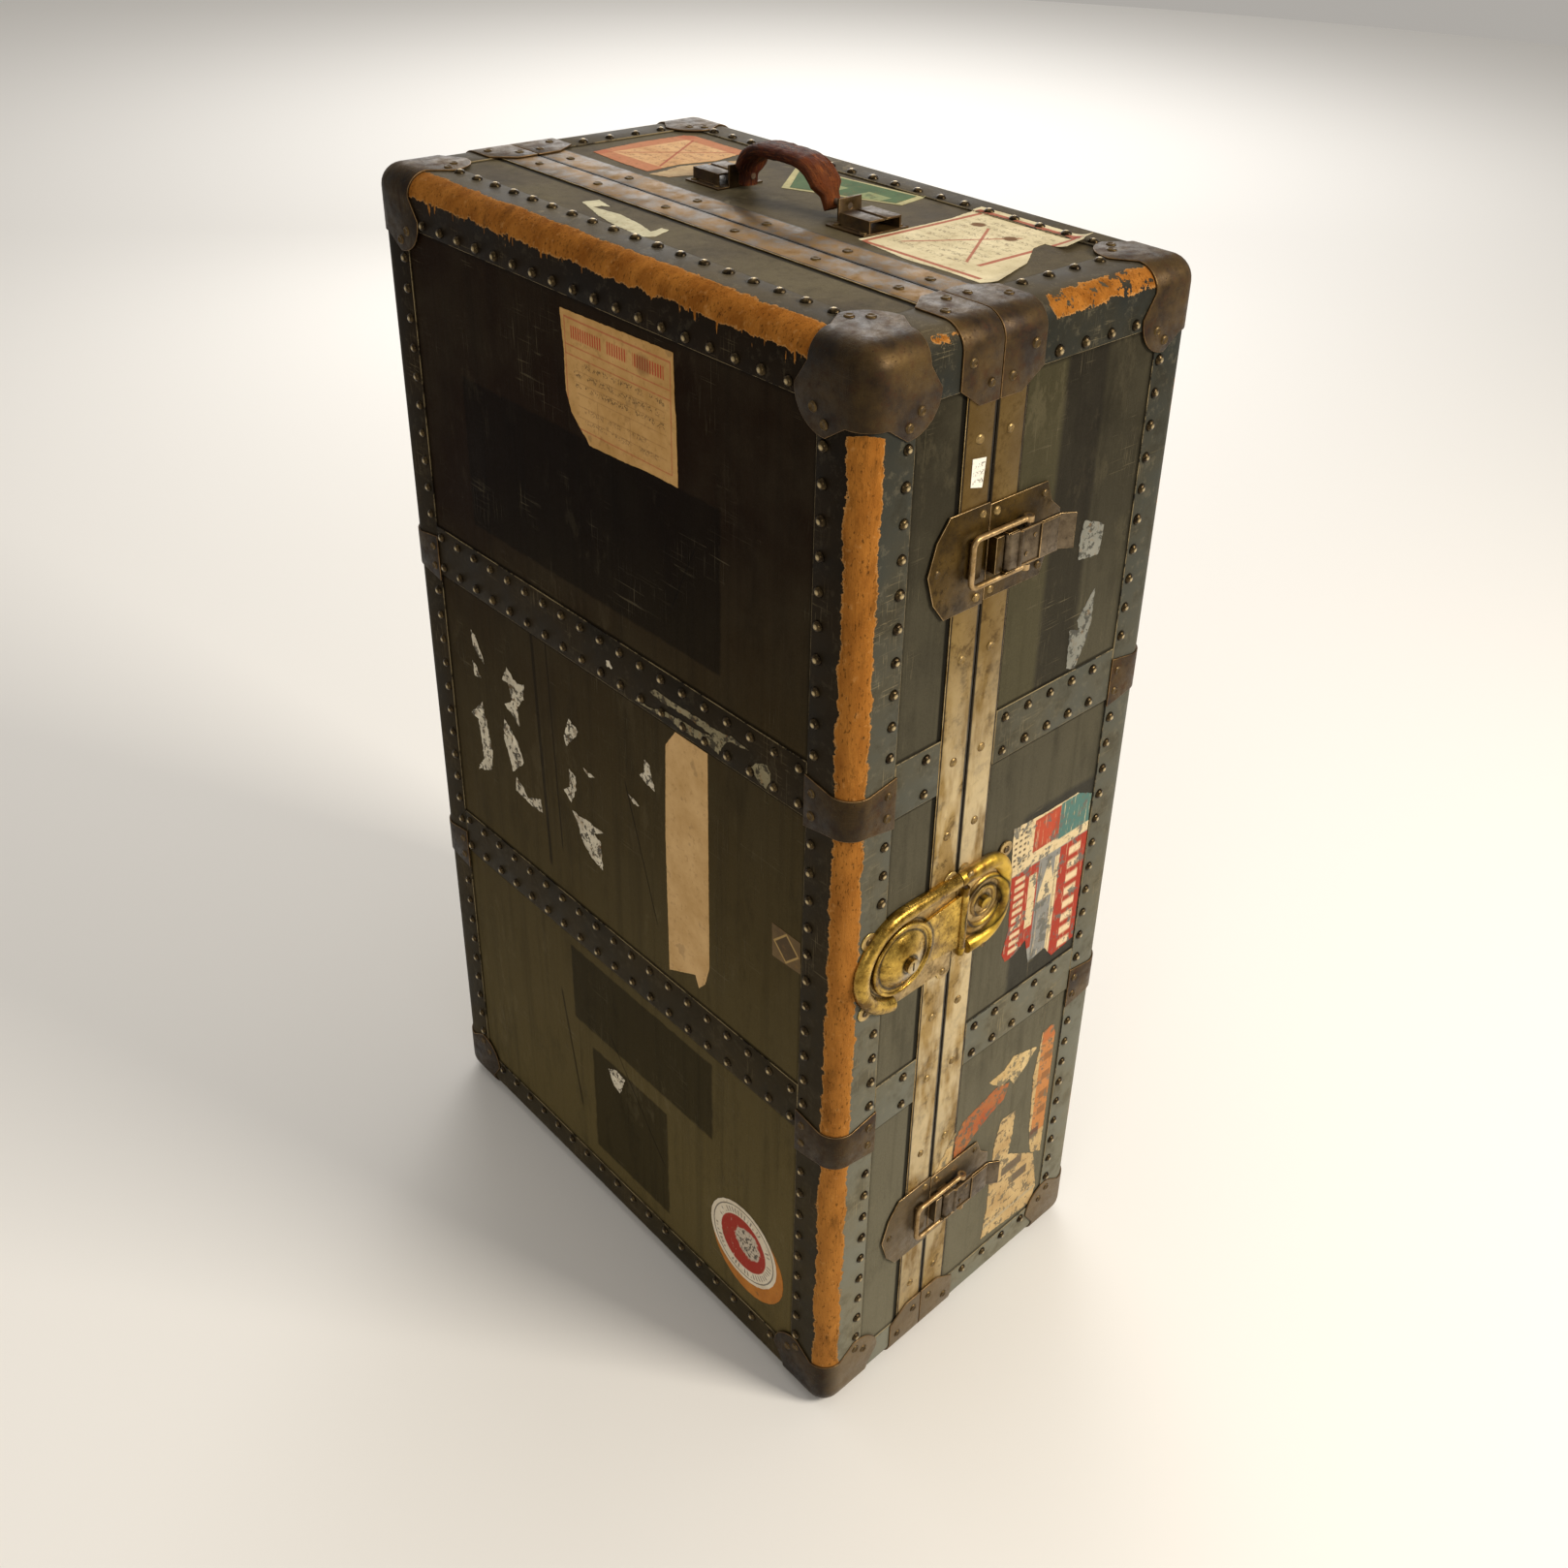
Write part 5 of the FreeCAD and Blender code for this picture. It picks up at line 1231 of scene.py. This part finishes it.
def torn_border(outline, tear):
    """The outline in metres, with points close together and pushed about by noise."""
    torn = []
    for (a0, b0), (a1, b1) in zip(outline, outline[1:] + outline[:1]):
        count = max(1, round(math.hypot(a1 - a0, b1 - b0) / torn_step))
        for share in (index / count for index in range(count)):
            a, b = a0 + (a1 - a0) * share, b0 + (b1 - b0) * share
            wobble = noise.noise_vector(Vector((a, b, 3.0)) * torn_grain) * tear
            torn.append(((a + wobble.x) * mm, (b + wobble.y) * mm))
    return torn


def flat_sheet(border, fineness):
    """A flat sheet inside a border, cut into small fields so that it can follow a surface."""
    sheet = bmesh.new()
    sheet.faces.new([sheet.verts.new((a, b, 0)) for a, b in border])
    bmesh.ops.triangulate(sheet, faces=sheet.faces)
    for axis, normal in enumerate(((1, 0, 0), (0, 1, 0))):
        low, high = min(point[axis] for point in border), max(point[axis] for point in border)
        count = int((high - low) / (fineness * mm)) + 1
        for index in range(1, count):
            everything = sheet.verts[:] + sheet.edges[:] + sheet.faces[:]
            cut = Vector(normal) * (low + (high - low) * index / count)
            bmesh.ops.bisect_plane(sheet, geom=everything, plane_co=cut, plane_no=normal)
    bmesh.ops.dissolve_degenerate(sheet, dist=0.00005, edges=sheet.edges)
    return sheet


def curl_height(a, b, curl):
    """How far a curling corner stands up; the curl is a start, a direction and a radius."""
    (ca, cb), (da, db), radius = curl
    beyond = ((a / mm - ca) * da + (b / mm - cb) * db) / math.hypot(da, db) * mm
    return beyond * beyond / (2 * radius * mm) if beyond > 0 else 0.0


# %% Paste a sheet on the trunk
def paper(name, side, outline, finish, body, tear=0.6, lift=0.0, curl=None, fineness=5.0):
    """A sheet pasted on a side; the outline is in millimetres, the curl a corner that stands up."""
    across, along, outward, sign = side_axes[side]
    sheet = flat_sheet(torn_border(outline, tear), fineness)
    raised = bmesh.ops.extrude_face_region(sheet, geom=sheet.faces[:])
    upper = {vert for vert in raised["geom"] if isinstance(vert, bmesh.types.BMVert)}
    for vert in sheet.verts:
        a, b = vert.co.x, vert.co.y
        height = glue + lift
        if vert in upper:
            height += paper_thickness + (noise.noise(Vector((a, b, 0)) * buckle_grain) + 1) * buckle_height
        if curl:
            height += curl_height(a, b, curl)
        place = [0.0, 0.0, 0.0]
        place[across], place[along], place[outward] = a, b, laid_level(side, a, b) + sign * height
        vert.co = place
    bmesh.ops.recalc_face_normals(sheet, faces=sheet.faces)
    finished(new_piece(name, sheet, finish), body)


# %% [markdown]
# ### Printed paper
# Every print starts from the same aged paper: a pale tone with foxing, creases and grime. Bars
# and rules are windows on the coordinates of the side, with the ragged edge of worn ink.


# %% Paper finishes
class Print(Finish):
    """Aged paper that takes bars, rules and blots of ink."""

    def __init__(self, name, light, dark):
        super().__init__(name, 0.75, sheen=0.2)
        self.clouds = self.grain(0.03, 5.0, 0.65)
        self.tone = self.mix(self.step(self.clouds, 0.35, 0.7), light, dark)
        self.worn = self.rag(0.004, 0.0005)

    def bar(self, colour, *ranges, share=1.0, soft=0.0004):
        """A printed bar or rule, with the border of worn ink."""
        self.ink(colour, self.window(*ranges, soft=soft, rag=self.worn), share)

    def ink(self, colour, *masks):
        self.tone = self.lay(self.tone, colour, *masks)

    def writing(self, colour, value, pitch, *ranges, share=0.7):
        """Rows of small broken strokes that read as writing from afar and say nothing."""
        rows = self.window((self.cycle(value, pitch), 0.25, 0.75), soft=0.1)
        strokes = self.step(self.grain(0.0016, 2.0, 0.6), 0.5, 0.56)
        words = self.step(self.grain(0.008, 1.0), 0.42, 0.46)
        self.ink(colour, rows, strokes, words, self.window(*ranges, soft=0.0006), share)

    def bars(self, colour, value, pitch, *ranges, share=0.9):
        """A row of plain upright bars in place of a printed line."""
        strokes = self.window((self.cycle(value, pitch), 0.15, 0.70), soft=0.1)
        self.ink(colour, strokes, self.window(*ranges, soft=0.0006, rag=self.worn), share)

    def crossed(self, colour, first, second, slopes, span):
        """Two long pen strokes across a label, given as slopes and offsets."""
        for slope, offset in slopes:
            slant = self.less(second, self.add(self.times(first, slope), offset))
            self.ink(colour, self.line(slant, 0.0, 0.0014), self.window((first, *span)), 0.8)

    def lost(self, colour, size, keep):
        """Places where the paper came off and what lies beneath shows."""
        self.ink(colour, self.step(self.grain(size, 5.0, 0.75), keep, keep + 0.012), 0.9)

    def pasted(self, grime=0.35):
        """Adds foxing and creases, and finishes the paper."""
        self.ink("#7c5a2c", self.step(self.grain(0.006, 4.0, 0.7), 0.57, 0.66), grime)
        self.ink("#5e4a30", self.step(self.grain((0.0008, 0.02, 0.02), 2.0), 0.66, 0.7), grime)
        fine = self.grain(0.0009, 3.0, 0.7)
        relief = self.add(self.times(fine, 0.4), self.times(self.clouds, 1.2))
        return self.done(self.tone, 0.75, relief, 0.0003)


def form_print():
    """A printed form: a ruled frame, three rows of bars for its title, and lines of writing."""
    p = Print("tan printed form", "#c39a60", "#a87f44")
    side, up = p.y, p.z
    for low, high, bottom, top in ((-0.093, 0.034, 0.955, 0.9565), (-0.093, 0.034, 0.934, 0.935),
                                   (-0.093, 0.034, 0.9265, 0.9275), (-0.093, 0.034, 0.869, 0.870),
                                   (-0.094, -0.093, 0.869, 0.9565), (0.033, 0.034, 0.889, 0.9565)):
        p.bar("#a85838", (side, low, high), (up, bottom, top), share=0.8)
    for low, high in ((-0.086, -0.050), (-0.043, -0.019), (-0.012, 0.026)):
        p.bars("#a8321c", side, 0.0030, (side, low, high), (up, 0.9405, 0.9505))
    for level in (0.916, 0.907, 0.898, 0.888, 0.879):
        p.bar("#8a6238", (side, -0.088, 0.020), (up, level, level + 0.0006), share=0.6)
    for place in (-0.045, -0.005):
        p.bar("#8a6238", (side, place, place + 0.0007), (up, 0.872, 0.898), share=0.6)
    p.writing("#3a2a1c", up, 0.0090, (side, -0.086, 0.024), (up, 0.898, 0.927))
    p.writing("#4a3524", up, 0.0090, (side, -0.080, 0.012), (up, 0.873, 0.892), share=0.5)
    blot = p.add(p.distance(side, up, (-0.062, 0.945))[0], p.rag(0.01, 0.004))
    p.ink("#6b4220", p.fall(blot, 0.006, 0.010), 0.5)
    return p.pasted()


def plain_paper(name, light, dark, grime=0.4, beneath=None):
    p = Print(name, light, dark)
    if beneath:
        p.lost(beneath, 0.009, 0.525)
    return p.pasted(grime)


tape_paper = plain_paper("tan tape", "#c8a470", "#b38e58", 0.3)
scrap_paper = plain_paper("torn cream scraps", "#d8cfb8", "#a89e8a", 0.5, "#2b2418")
smear_paste = plain_paper("grey paste", "#8c8264", "#6b6248", 0.5, "#2b2418")
grey_paste = plain_paper("pale grey scraps", "#7d7c72", "#66665d", 0.4, "#3c3b35")
lid = body_of_node["lid_cover"]
trunk = body_of_node["body_cover"]

# %% [markdown]
# ### Labels, side by side
# The outlines below are in millimetres on the row's own axes: (y, z) on the broad side, (x, z)
# on the front and (x, y) on the top. A few corners are enough, because the tearing adds the
# small irregularities. The scraps are what is left of labels that were scraped off.

# %% Labels on the broad side
form_outline = [(39, 961), (-97, 964), (-98, 924), (-96, 921), (-99, 918), (-100, 862), (-64, 862),
                (-30, 860), (8, 859), (12, 864), (18, 868), (30, 880), (36, 896), (36, 929)]
tape_outline = [(-78, 628), (-91, 646), (-131, 646), (-131, 426), (-125, 405), (-117, 395), (-112, 407),
                (-76, 389), (-75, 537)]
paper("label_form", "broad", form_outline, form_print(), lid, 0.5)
paper("label_tape", "broad", tape_outline, tape_paper, lid, 0.35)
smears = {"label_smear_low": [(-40, 652), (-46, 657), (-56, 653), (-77, 660), (-96, 662), (-125, 663),
                              (-146, 669), (-160, 676), (-151, 664), (-146, 654), (-130, 657),
                              (-111, 654), (-96, 654), (-84, 657), (-69, 653)],
          "label_smear_high": [(-60, 670), (-67, 675), (-97, 674), (-123, 675), (-146, 675), (-162, 678),
                               (-181, 675), (-162, 673), (-144, 667), (-111, 669), (-77, 668)],
          "label_smear_end": [(-177, 654), (-183, 661), (-192, 670), (-201, 673), (-206, 668),
                              (-206, 661), (-201, 651), (-195, 652), (-188, 657)]}
for name, outline in smears.items():
    paper(name, "broad", outline, smear_paste, lid, 1.2)
scraps = [[(212, 607), (206, 603), (200, 593), (193, 578), (201, 582), (211, 592)],
          [(214, 573), (208, 569), (201, 559), (213, 558)],
          [(155, 592), (148, 586), (139, 582), (128, 586), (131, 569), (142, 556), (141, 535), (150, 543),
           (163, 549), (149, 560), (155, 576), (165, 576)],
          [(203, 532), (202, 520), (198, 512), (196, 496), (192, 482), (197, 457), (222, 446), (209, 465),
           (211, 489), (213, 508), (225, 510)],
          [(166, 531), (157, 525), (147, 516), (138, 496), (158, 476), (162, 492), (170, 507)],
          [(153, 473), (143, 467), (136, 458), (114, 468), (112, 454), (128, 452), (144, 455),
           (155, 456)],
          [(59, 584), (52, 581), (45, 578), (57, 562), (66, 553), (68, 563)],
          [(63, 529), (54, 525), (54, 512), (63, 493), (74, 501), (64, 509)],
          [(62, 485), (51, 484), (37, 486), (16, 485), (31, 476), (20, 472), (19, 442), (34, 446),
           (48, 458), (54, 474)],
          [(41, 542), (24, 540), (33, 536)],
          [(-25, 549), (-32, 549), (-40, 545), (-32, 543)],
          [(-49, 598), (-55, 595), (-62, 573), (-52, 574), (-41, 578), (-49, 586)],
          [(-2, 673), (-7, 673), (-11, 668), (-4, 667)],
          [(26, 193), (13, 200), (-1, 197), (8, 173), (18, 176)]]
for index, outline in enumerate(scraps):
    paper(f"label_scrap_{index + 1}", "broad", outline, scrap_paper, lid, 1.6, fineness=6.0)


# %% Round and diamond stickers
round_centre, round_radius = (-177, 126), 46
crescent_centre, crescent_radius = (round_centre[0] - 6, round_centre[1] - 11), 49
tick_count = 52


def disc_outline(centre, radius, count=28):
    turns = (2 * math.pi * index / count for index in range(count))
    return [(centre[0] + radius * math.cos(turn), centre[1] + radius * math.sin(turn)) for turn in turns]


def round_print(centre):
    """A rim line, a band of ticks, a red field and a worn pale middle."""
    p = Print("round sticker", "#d8cdb8", "#c4b69c")
    distance, da, db = p.distance(p.y, p.z, centre)
    worn = p.add(distance, p.worn)
    p.ink("#4a4640", p.line(worn, 0.0415, 0.0007), 0.8)
    turns = p.times(p.math("ARCTAN2", db, da), tick_count / (2 * math.pi))
    ticks = p.window((p.math("FRACT", turns), 0.2, 0.6), soft=0.08)
    band = p.window((worn, 0.0325, 0.0385), soft=0.0006)
    gaps = p.step(p.grain(0.012, 1.0), 0.46, 0.5)
    p.ink("#57514a", ticks, band, gaps, 0.75)
    p.ink("#962c1e", p.fall(worn, 0.0305, 0.0315))
    blob = p.distance(p.add(p.y, p.rag(0.012, 0.006)), p.add(p.z, p.rag(0.015, 0.006)),
                      (centre[0] - 0.006, centre[1] + 0.004))[0]
    p.ink("#b8ab98", p.fall(blob, 0.016, 0.0175))
    p.ink("#4c443c", p.fall(blob, 0.013, 0.016), p.step(p.grain(0.004, 3.0), 0.5, 0.56))
    p.ink("#d8cdb8", p.step(p.grain((0.003, 0.003, 0.009), 3.0), 0.66, 0.7), 0.8)
    return p.pasted(0.25)


def diamond_print():
    """A brown diamond with a pale line inside its border."""
    p = Print("diamond sticker", "#6b5636", "#544228")
    slant = p.add(p.apart(p.y, -0.226), p.apart(p.z, 0.511))
    p.ink("#a08450", p.line(slant, 0.014, 0.0012))
    p.ink("#3a2c1a", p.fall(slant, 0.012, 0.013), 0.6)
    return p.pasted()


paper("label_crescent", "broad", disc_outline(crescent_centre, crescent_radius),
      plain_paper("orange sticker", "#b5742c", "#9a5c1c", 0.5), lid, 0.3)
paper("label_round", "broad", disc_outline(round_centre, round_radius),
      round_print((round_centre[0] * mm, round_centre[1] * mm)), lid, 0.25, lift=paper_thickness)
diamond_outline = [(-209, 527), (-242, 527), (-243, 496), (-210, 494)]
paper("label_diamond", "broad", diamond_outline, diamond_print(), lid, 0.3)


# %% Labels on the front
def big_front_print():
    """Blocks of red, teal and cream, rows of bars and a wedge, mostly scraped off."""
    p = Print("red and teal label", "#8d8c84", "#74736c")
    a, b = p.x, p.z
    cream, red, ink = "#c8b48c", "#983322", "#3a3026"
    for colour, low, high, bottom, top in (
            (cream, 0.020, 0.128, 0.517, 0.566), ("#98402a", 0.046, 0.084, 0.527, 0.561),
            (cream, 0.042, 0.050, 0.517, 0.563), ("#4a6c64", 0.084, 0.128, 0.524, 0.562),
            (cream, 0.020, 0.128, 0.514, 0.520), (red, 0.020, 0.062, 0.418, 0.513),
            (red, 0.090, 0.129, 0.386, 0.513), (cream, 0.050, 0.060, 0.444, 0.502),
            ("#7d7c76", 0.062, 0.090, 0.400, 0.513)):
        p.bar(colour, (a, low, high), (b, bottom, top))
    wedge = p.less(p.apart(a, 0.076), p.times(p.less(0.508, b), 0.3))
    p.ink(cream, p.fall(wedge, 0.0, 0.001), p.window((b, 0.466, 0.506)))
    p.bar(cream, (a, 0.084, 0.090), (b, 0.388, 0.506))
    funnel = p.less(p.apart(a, 0.066), p.times(p.less(b, 0.512), 0.35))
    p.ink("#a8452c", p.fall(funnel, 0.0, 0.001), p.window((b, 0.530, 0.558)))
    dots = p.window((p.cycle(b, 0.006), 0.3, 0.7), soft=0.08)
    for place in (0.025, 0.031, 0.037):
        p.ink(ink, dots, p.window((a, place, place + 0.003), (b, 0.520, 0.562)))
    p.bar(ink, (a, 0.0205, 0.0215), (b, 0.430, 0.566))
    p.bars("#d8c49c", b, 0.0150, (a, 0.103, 0.119), (b, 0.392, 0.510))
    p.bars("#d8c49c", b, 0.0085, (a, 0.031, 0.044), (b, 0.424, 0.508), share=0.8)
    for place in (0.064, 0.0855):
        p.bar(ink, (a, place, place + 0.001), (b, 0.400, 0.510), share=0.7)
    p.lost("#5f5e56", 0.014, 0.55)
    p.ink(cream, p.step(p.grain((0.0015, 0.0015, 0.02), 3.0, 0.6), 0.62, 0.66), 0.6)
    return p.pasted(0.4)


def low_front_print():
    """A torn label low on the front: an orange border, a few dark bars and a rule."""
    p = Print("cream and tan label", "#c2a878", "#a8895a")
    for colour, share, *places in (("#b06a30", 0.8, (0.100, 0.122, 0.155, 0.300)),
                                   ("#a85e34", 0.7, (0.100, 0.122, 0.276, 0.300)),
                                   ("#4a3a2c", 0.5, *[(0.106, 0.118, level, level + 0.010)
                                                      for level in (0.250, 0.225, 0.200, 0.178)]),
                                   ("#2c2c34", 0.75, (0.085, 0.112, 0.150, 0.162), (0.060, 0.090, 0.128, 0.140),
                                    (0.078, 0.100, 0.106, 0.118)),
                                   ("#a89878", 1.0, (0.040, 0.118, 0.070, 0.074))):
        for low, high, bottom, top in places:
            p.bar(colour, (p.x, low, high), (p.z, bottom, top), share=share)
    p.lost("#6b6350", 0.012, 0.545)
    return p.pasted(0.6)


big_outline = [(21, 566), (64, 563), (105, 563), (126, 553), (125, 545), (127, 511), (126, 440),
               (126, 392), (96, 388), (84, 404), (62, 400), (54, 430), (40, 421), (28, 420), (23, 431),
               (28, 455), (27, 486), (24, 515)]
paper("label_big_front", "front", big_outline, big_front_print(), trunk, 0.8)
cream_front = plain_paper("cream paper", "#c8b080", "#aa8c58", 0.5, "#6b6450")
orange_front = plain_paper("orange remnant", "#9c4c28", "#a07040", 0.5, "#5c5848")
low_front = low_front_print()
for name, outline, finish in (
        ("strip", [(99, 291), (115, 293), (119, 278), (120, 177), (120, 120), (104, 130), (98, 158),
                   (93, 241), (97, 269)], low_front),
        ("sheet", [(44, 186), (51, 212), (71, 211), (70, 177), (67, 155), (109, 125), (120, 71),
                   (114, 50), (39, 58), (43, 99), (42, 141)], low_front),
        ("upper", [(25, 278), (46, 279), (58, 289), (81, 282), (93, 278), (78, 263), (63, 251), (56, 263),
                   (43, 260)], cream_front),
        ("streak", [(56, 257), (50, 240), (32, 234), (10, 222), (-5, 210), (-16, 205), (-16, 236),
                    (-7, 251), (17, 258), (40, 264)], orange_front),
        ("hoop", [(-18, 248), (-20, 226), (-28, 205), (-44, 210), (-35, 225)], cream_front)):
    paper(f"label_low_{name}", "front", outline, finish, trunk, 1.2)
for index, outline in enumerate(([(67, 833), (83, 827), (93, 821), (90, 796), (65, 800), (64, 818)],
                                 [(92, 767), (84, 758), (74, 744), (76, 734), (65, 738), (66, 702),
                                  (77, 698), (88, 721), (92, 737)])):
    paper(f"label_grey_{index + 1}", "front", outline, grey_paste, trunk, 1.5)


def tag_print():
    p = Print("white tag", "#e6e2d6", "#d4cfc0")
    p.writing("#2c2824", p.z, 0.006, (p.x, -0.069, -0.057), (p.z, 0.900, 0.918), share=0.8)
    return p.pasted(0.2)


paper("label_tag", "front", [(-70, 921), (-56, 919), (-58, 897), (-70, 900)], tag_print(), lid, 0.1,
      fineness=3.0)


# %% Labels on the top
def top_cream_print():
    """A cream label with a red border, lines of writing, two crossing strokes and two blots."""
    p = Print("cream top label", "#d8cca8", "#beb18c")
    a, b = p.x, p.y
    red = "#9a3a28"
    for ranges in (((a, -0.004, 0.000), (b, -0.226, -0.108)), ((a, 0.128, 0.134), (b, -0.210, -0.104)),
                   ((a, 0.000, 0.134), (b, -0.112, -0.108)), ((a, 0.020, 0.134), (b, -0.206, -0.202))):
        p.bar(red, *ranges, share=0.85)
    p.writing("#5a4a3a", a, 0.012, (a, 0.010, 0.122), (b, -0.196, -0.118), share=0.6)
    p.crossed(red, a, b, ((0.62, -0.205), (-0.62, -0.115)), (0.02, 0.10))
    for spot in ((0.102, -0.131), (0.092, -0.172)):
        blot = p.add(p.distance(a, b, spot)[0], p.rag(0.006, 0.002))
        p.ink("#6b4a28", p.fall(blot, 0.005, 0.007))
    return p.pasted(0.35)


def top_orange_print():
    """A tan label with an orange border, lines of writing and two crossing strokes."""
    p = Print("orange top label", "#d0a878", "#b98a58")
    a, b = p.x, p.y
    for ranges in (((a, -0.006, 0.014), (b, 0.144, 0.240)), ((a, 0.096, 0.114), (b, 0.144, 0.240)),
                   ((a, 0.000, 0.110), (b, 0.220, 0.240))):
        p.bar("#a85a38", *ranges, share=0.7)
    p.writing("#6b3a24", a, 0.013, (a, 0.018, 0.094), (b, 0.152, 0.216), share=0.6)
    p.crossed("#9a3a28", a, b, ((0.7, 0.145), (-0.7, 0.228)), (0.015, 0.10))
    return p.pasted(0.5)


def green_print():
    p = Print("green label", "#4c6640", "#3c5434")
    a, b = p.x, p.y
    for low, high, start in ((0.078, 0.096, 0.034), (0.084, 0.102, -0.010)):
        p.bar("#a8ac78", (a, low, high), (b, start - 0.026, start), share=0.5)
    p.ink("#3c5434", p.times(p.step(p.grain(0.01, 4.0), 0.55, 0.62), 0.6))
    return p.pasted(0.4)


paper("label_top_cream", "top", [(-2, -104), (30, -105), (96, -106), (141, -99), (141, -186), (139, -213),
                                 (104, -216), (103, -196), (88, -198), (54, -221), (25, -231), (0, -240),
                                 (-9, -231), (-8, -198), (-10, -162)],
      top_cream_print(), trunk, 0.6, curl=((96, -204), (0.25, -1.0), 34.0))
paper("label_top_orange", "top", [(0, 230), (56, 237), (106, 236), (112, 227), (111, 154), (69, 144),
                                  (32, 152), (-4, 148), (-4, 185)], top_orange_print(), trunk, 0.9)
paper("label_top_rest", "top", [(11, 141), (28, 146), (82, 134), (77, 121), (31, 112), (-2, 122),
                                (-9, 139)],
      plain_paper("top remnant", "#b8a078", "#94704c", 0.6), trunk, 1.8)
green_edge = plain_paper("green label edge", "#b8b080", "#9c9870", 0.4)
green_outline = [(112, 89), (52, 42), (94, -55), (128, -49)]
green_middle = (sum(a for a, b in green_outline) / 4, sum(b for a, b in green_outline) / 4)
green_border = (0.86, 0.90)
green_inner = [[middle + (place - middle) * share
                for place, middle, share in zip(point, green_middle, green_border)]
               for point in green_outline]
paper("label_green_edge", "top", green_outline, green_edge, trunk, 0.3)
paper("label_green", "top", green_inner, green_print(), trunk, 0.2, lift=paper_thickness)
paper("label_stroke", "top", [(-105, 99), (-99, 98), (-91, 96), (-96, 75), (-100, 81), (-107, 82),
                              (-103, 52), (-108, 19), (-113, 1), (-101, 4), (-100, -3), (-119, -11),
                              (-127, -5), (-124, 31), (-119, 57)],
      plain_paper("pale cream smear", "#c9c3a4", "#a39d80", 0.4), lid, 1.0)

# %% [markdown]
# ## Inside
# The inside is lined with pale printed paper, and a paper-covered tray rests on two cleats.
# Nothing of it shows in the photograph, so it follows what such trunks mostly have: faded
# stripes on the lining, a plain darker paper on the tray, and two webbing pulls.


# %% Lining, wood and webbing
stripe_pitch = 0.036
weave_pitch = 0.0016
def striped_lining():
    f = Finish("striped lining paper", 0.8)
    clouds = f.grain(0.07, 5.0, 0.6)
    tone = f.mix(f.step(clouds, 0.35, 0.7), "#b9a888", "#9f8c6a")
    across = f.cycle(f.y, stripe_pitch)
    stripe = f.window((across, 0.30, 0.70), soft=0.02)
    thin = f.window((across, 0.80, 0.86), soft=0.02)
    ink = f.step(f.grain(0.004, 3.0), 0.36, 0.5)
    tone = f.lay(tone, "#6f7a6a", stripe, ink, 0.45)
    tone = f.lay(tone, "#7c4a34", thin, ink, 0.6)
    tone = f.lay(tone, "#6f5632", f.step(f.grain(0.012, 5.0, 0.7), 0.6, 0.75), 0.5)
    relief = f.add(f.times(f.grain(0.0012, 3.0), 0.4), f.times(clouds, 1.5))
    return f.done(tone, 0.8, relief, 0.0004)


def board_wood(name, light, dark):
    f = Finish(name, 0.65)
    rings = f.grain((0.004, 0.006, 0.16), 5.0, 0.6, twist=0.3)
    pores = f.grain((0.0008, 0.0008, 0.012), 3.0, 0.6)
    tone = f.mix(f.step(rings, 0.35, 0.68), light, dark)
    tone = f.darken(tone, f.step(pores, 0.56, 0.7), 0.45)
    tone = f.darken(tone, f.step(f.grain(0.04, 4.0), 0.55, 0.75), 0.35)
    return f.done(tone, 0.62, f.add(f.times(pores, -0.5), f.times(rings, 0.5)), 0.0004)


def tray_paper():
    f = Finish("tray paper", 0.75)
    clouds = f.grain(0.05, 5.0, 0.65)
    tone = f.mix(f.step(clouds, 0.35, 0.7), "#7f6f52", "#655539")
    specks = f.step(f.grain(0.0035, 2.0, 0.5), 0.6, 0.64)
    tone = f.lay(tone, "#a8966c", specks, 0.5)
    return f.done(tone, 0.78, f.add(f.times(specks, 0.4), f.times(clouds, 1.0)), 0.0003)


def pull_webbing():
    f = Finish("cotton webbing", 0.85)
    weft, warp = [f.math("ABSOLUTE", f.math("SINE", f.times(value, math.pi / weave_pitch)))
                  for value in (f.x, f.y)]
    weave = f.math("MAXIMUM", weft, warp)
    tone = f.mix(f.step(weave, 0.55, 1.0), "#5a4a30", "#a08a5c")
    tone = f.darken(tone, f.step(f.grain(0.01, 4.0), 0.55, 0.75), 0.45)
    return f.done(tone, 0.85, weave, 0.0004)


lining = striped_lining()
basswood = board_wood("basswood board", "#b08c5c", "#8c6a40")
hidden_wear = {"lining": lining, "board": basswood, "cleats": board_wood("cleat wood", "#94724a", "#6f5232"),
               "pulls": pull_webbing(), "leaves": hinge_steel, "pin": hinge_steel, "pins": hinge_steel}
covered = tray_paper()
for node in nodes:
    last_word = node.split("_")[-1]
    if last_word in hidden_wear:
        wear(node, hidden_wear[last_word])
    elif node.startswith("tray_"):
        wear(node, covered)
print("inside dressed with", ", ".join(sorted(hidden_wear)))
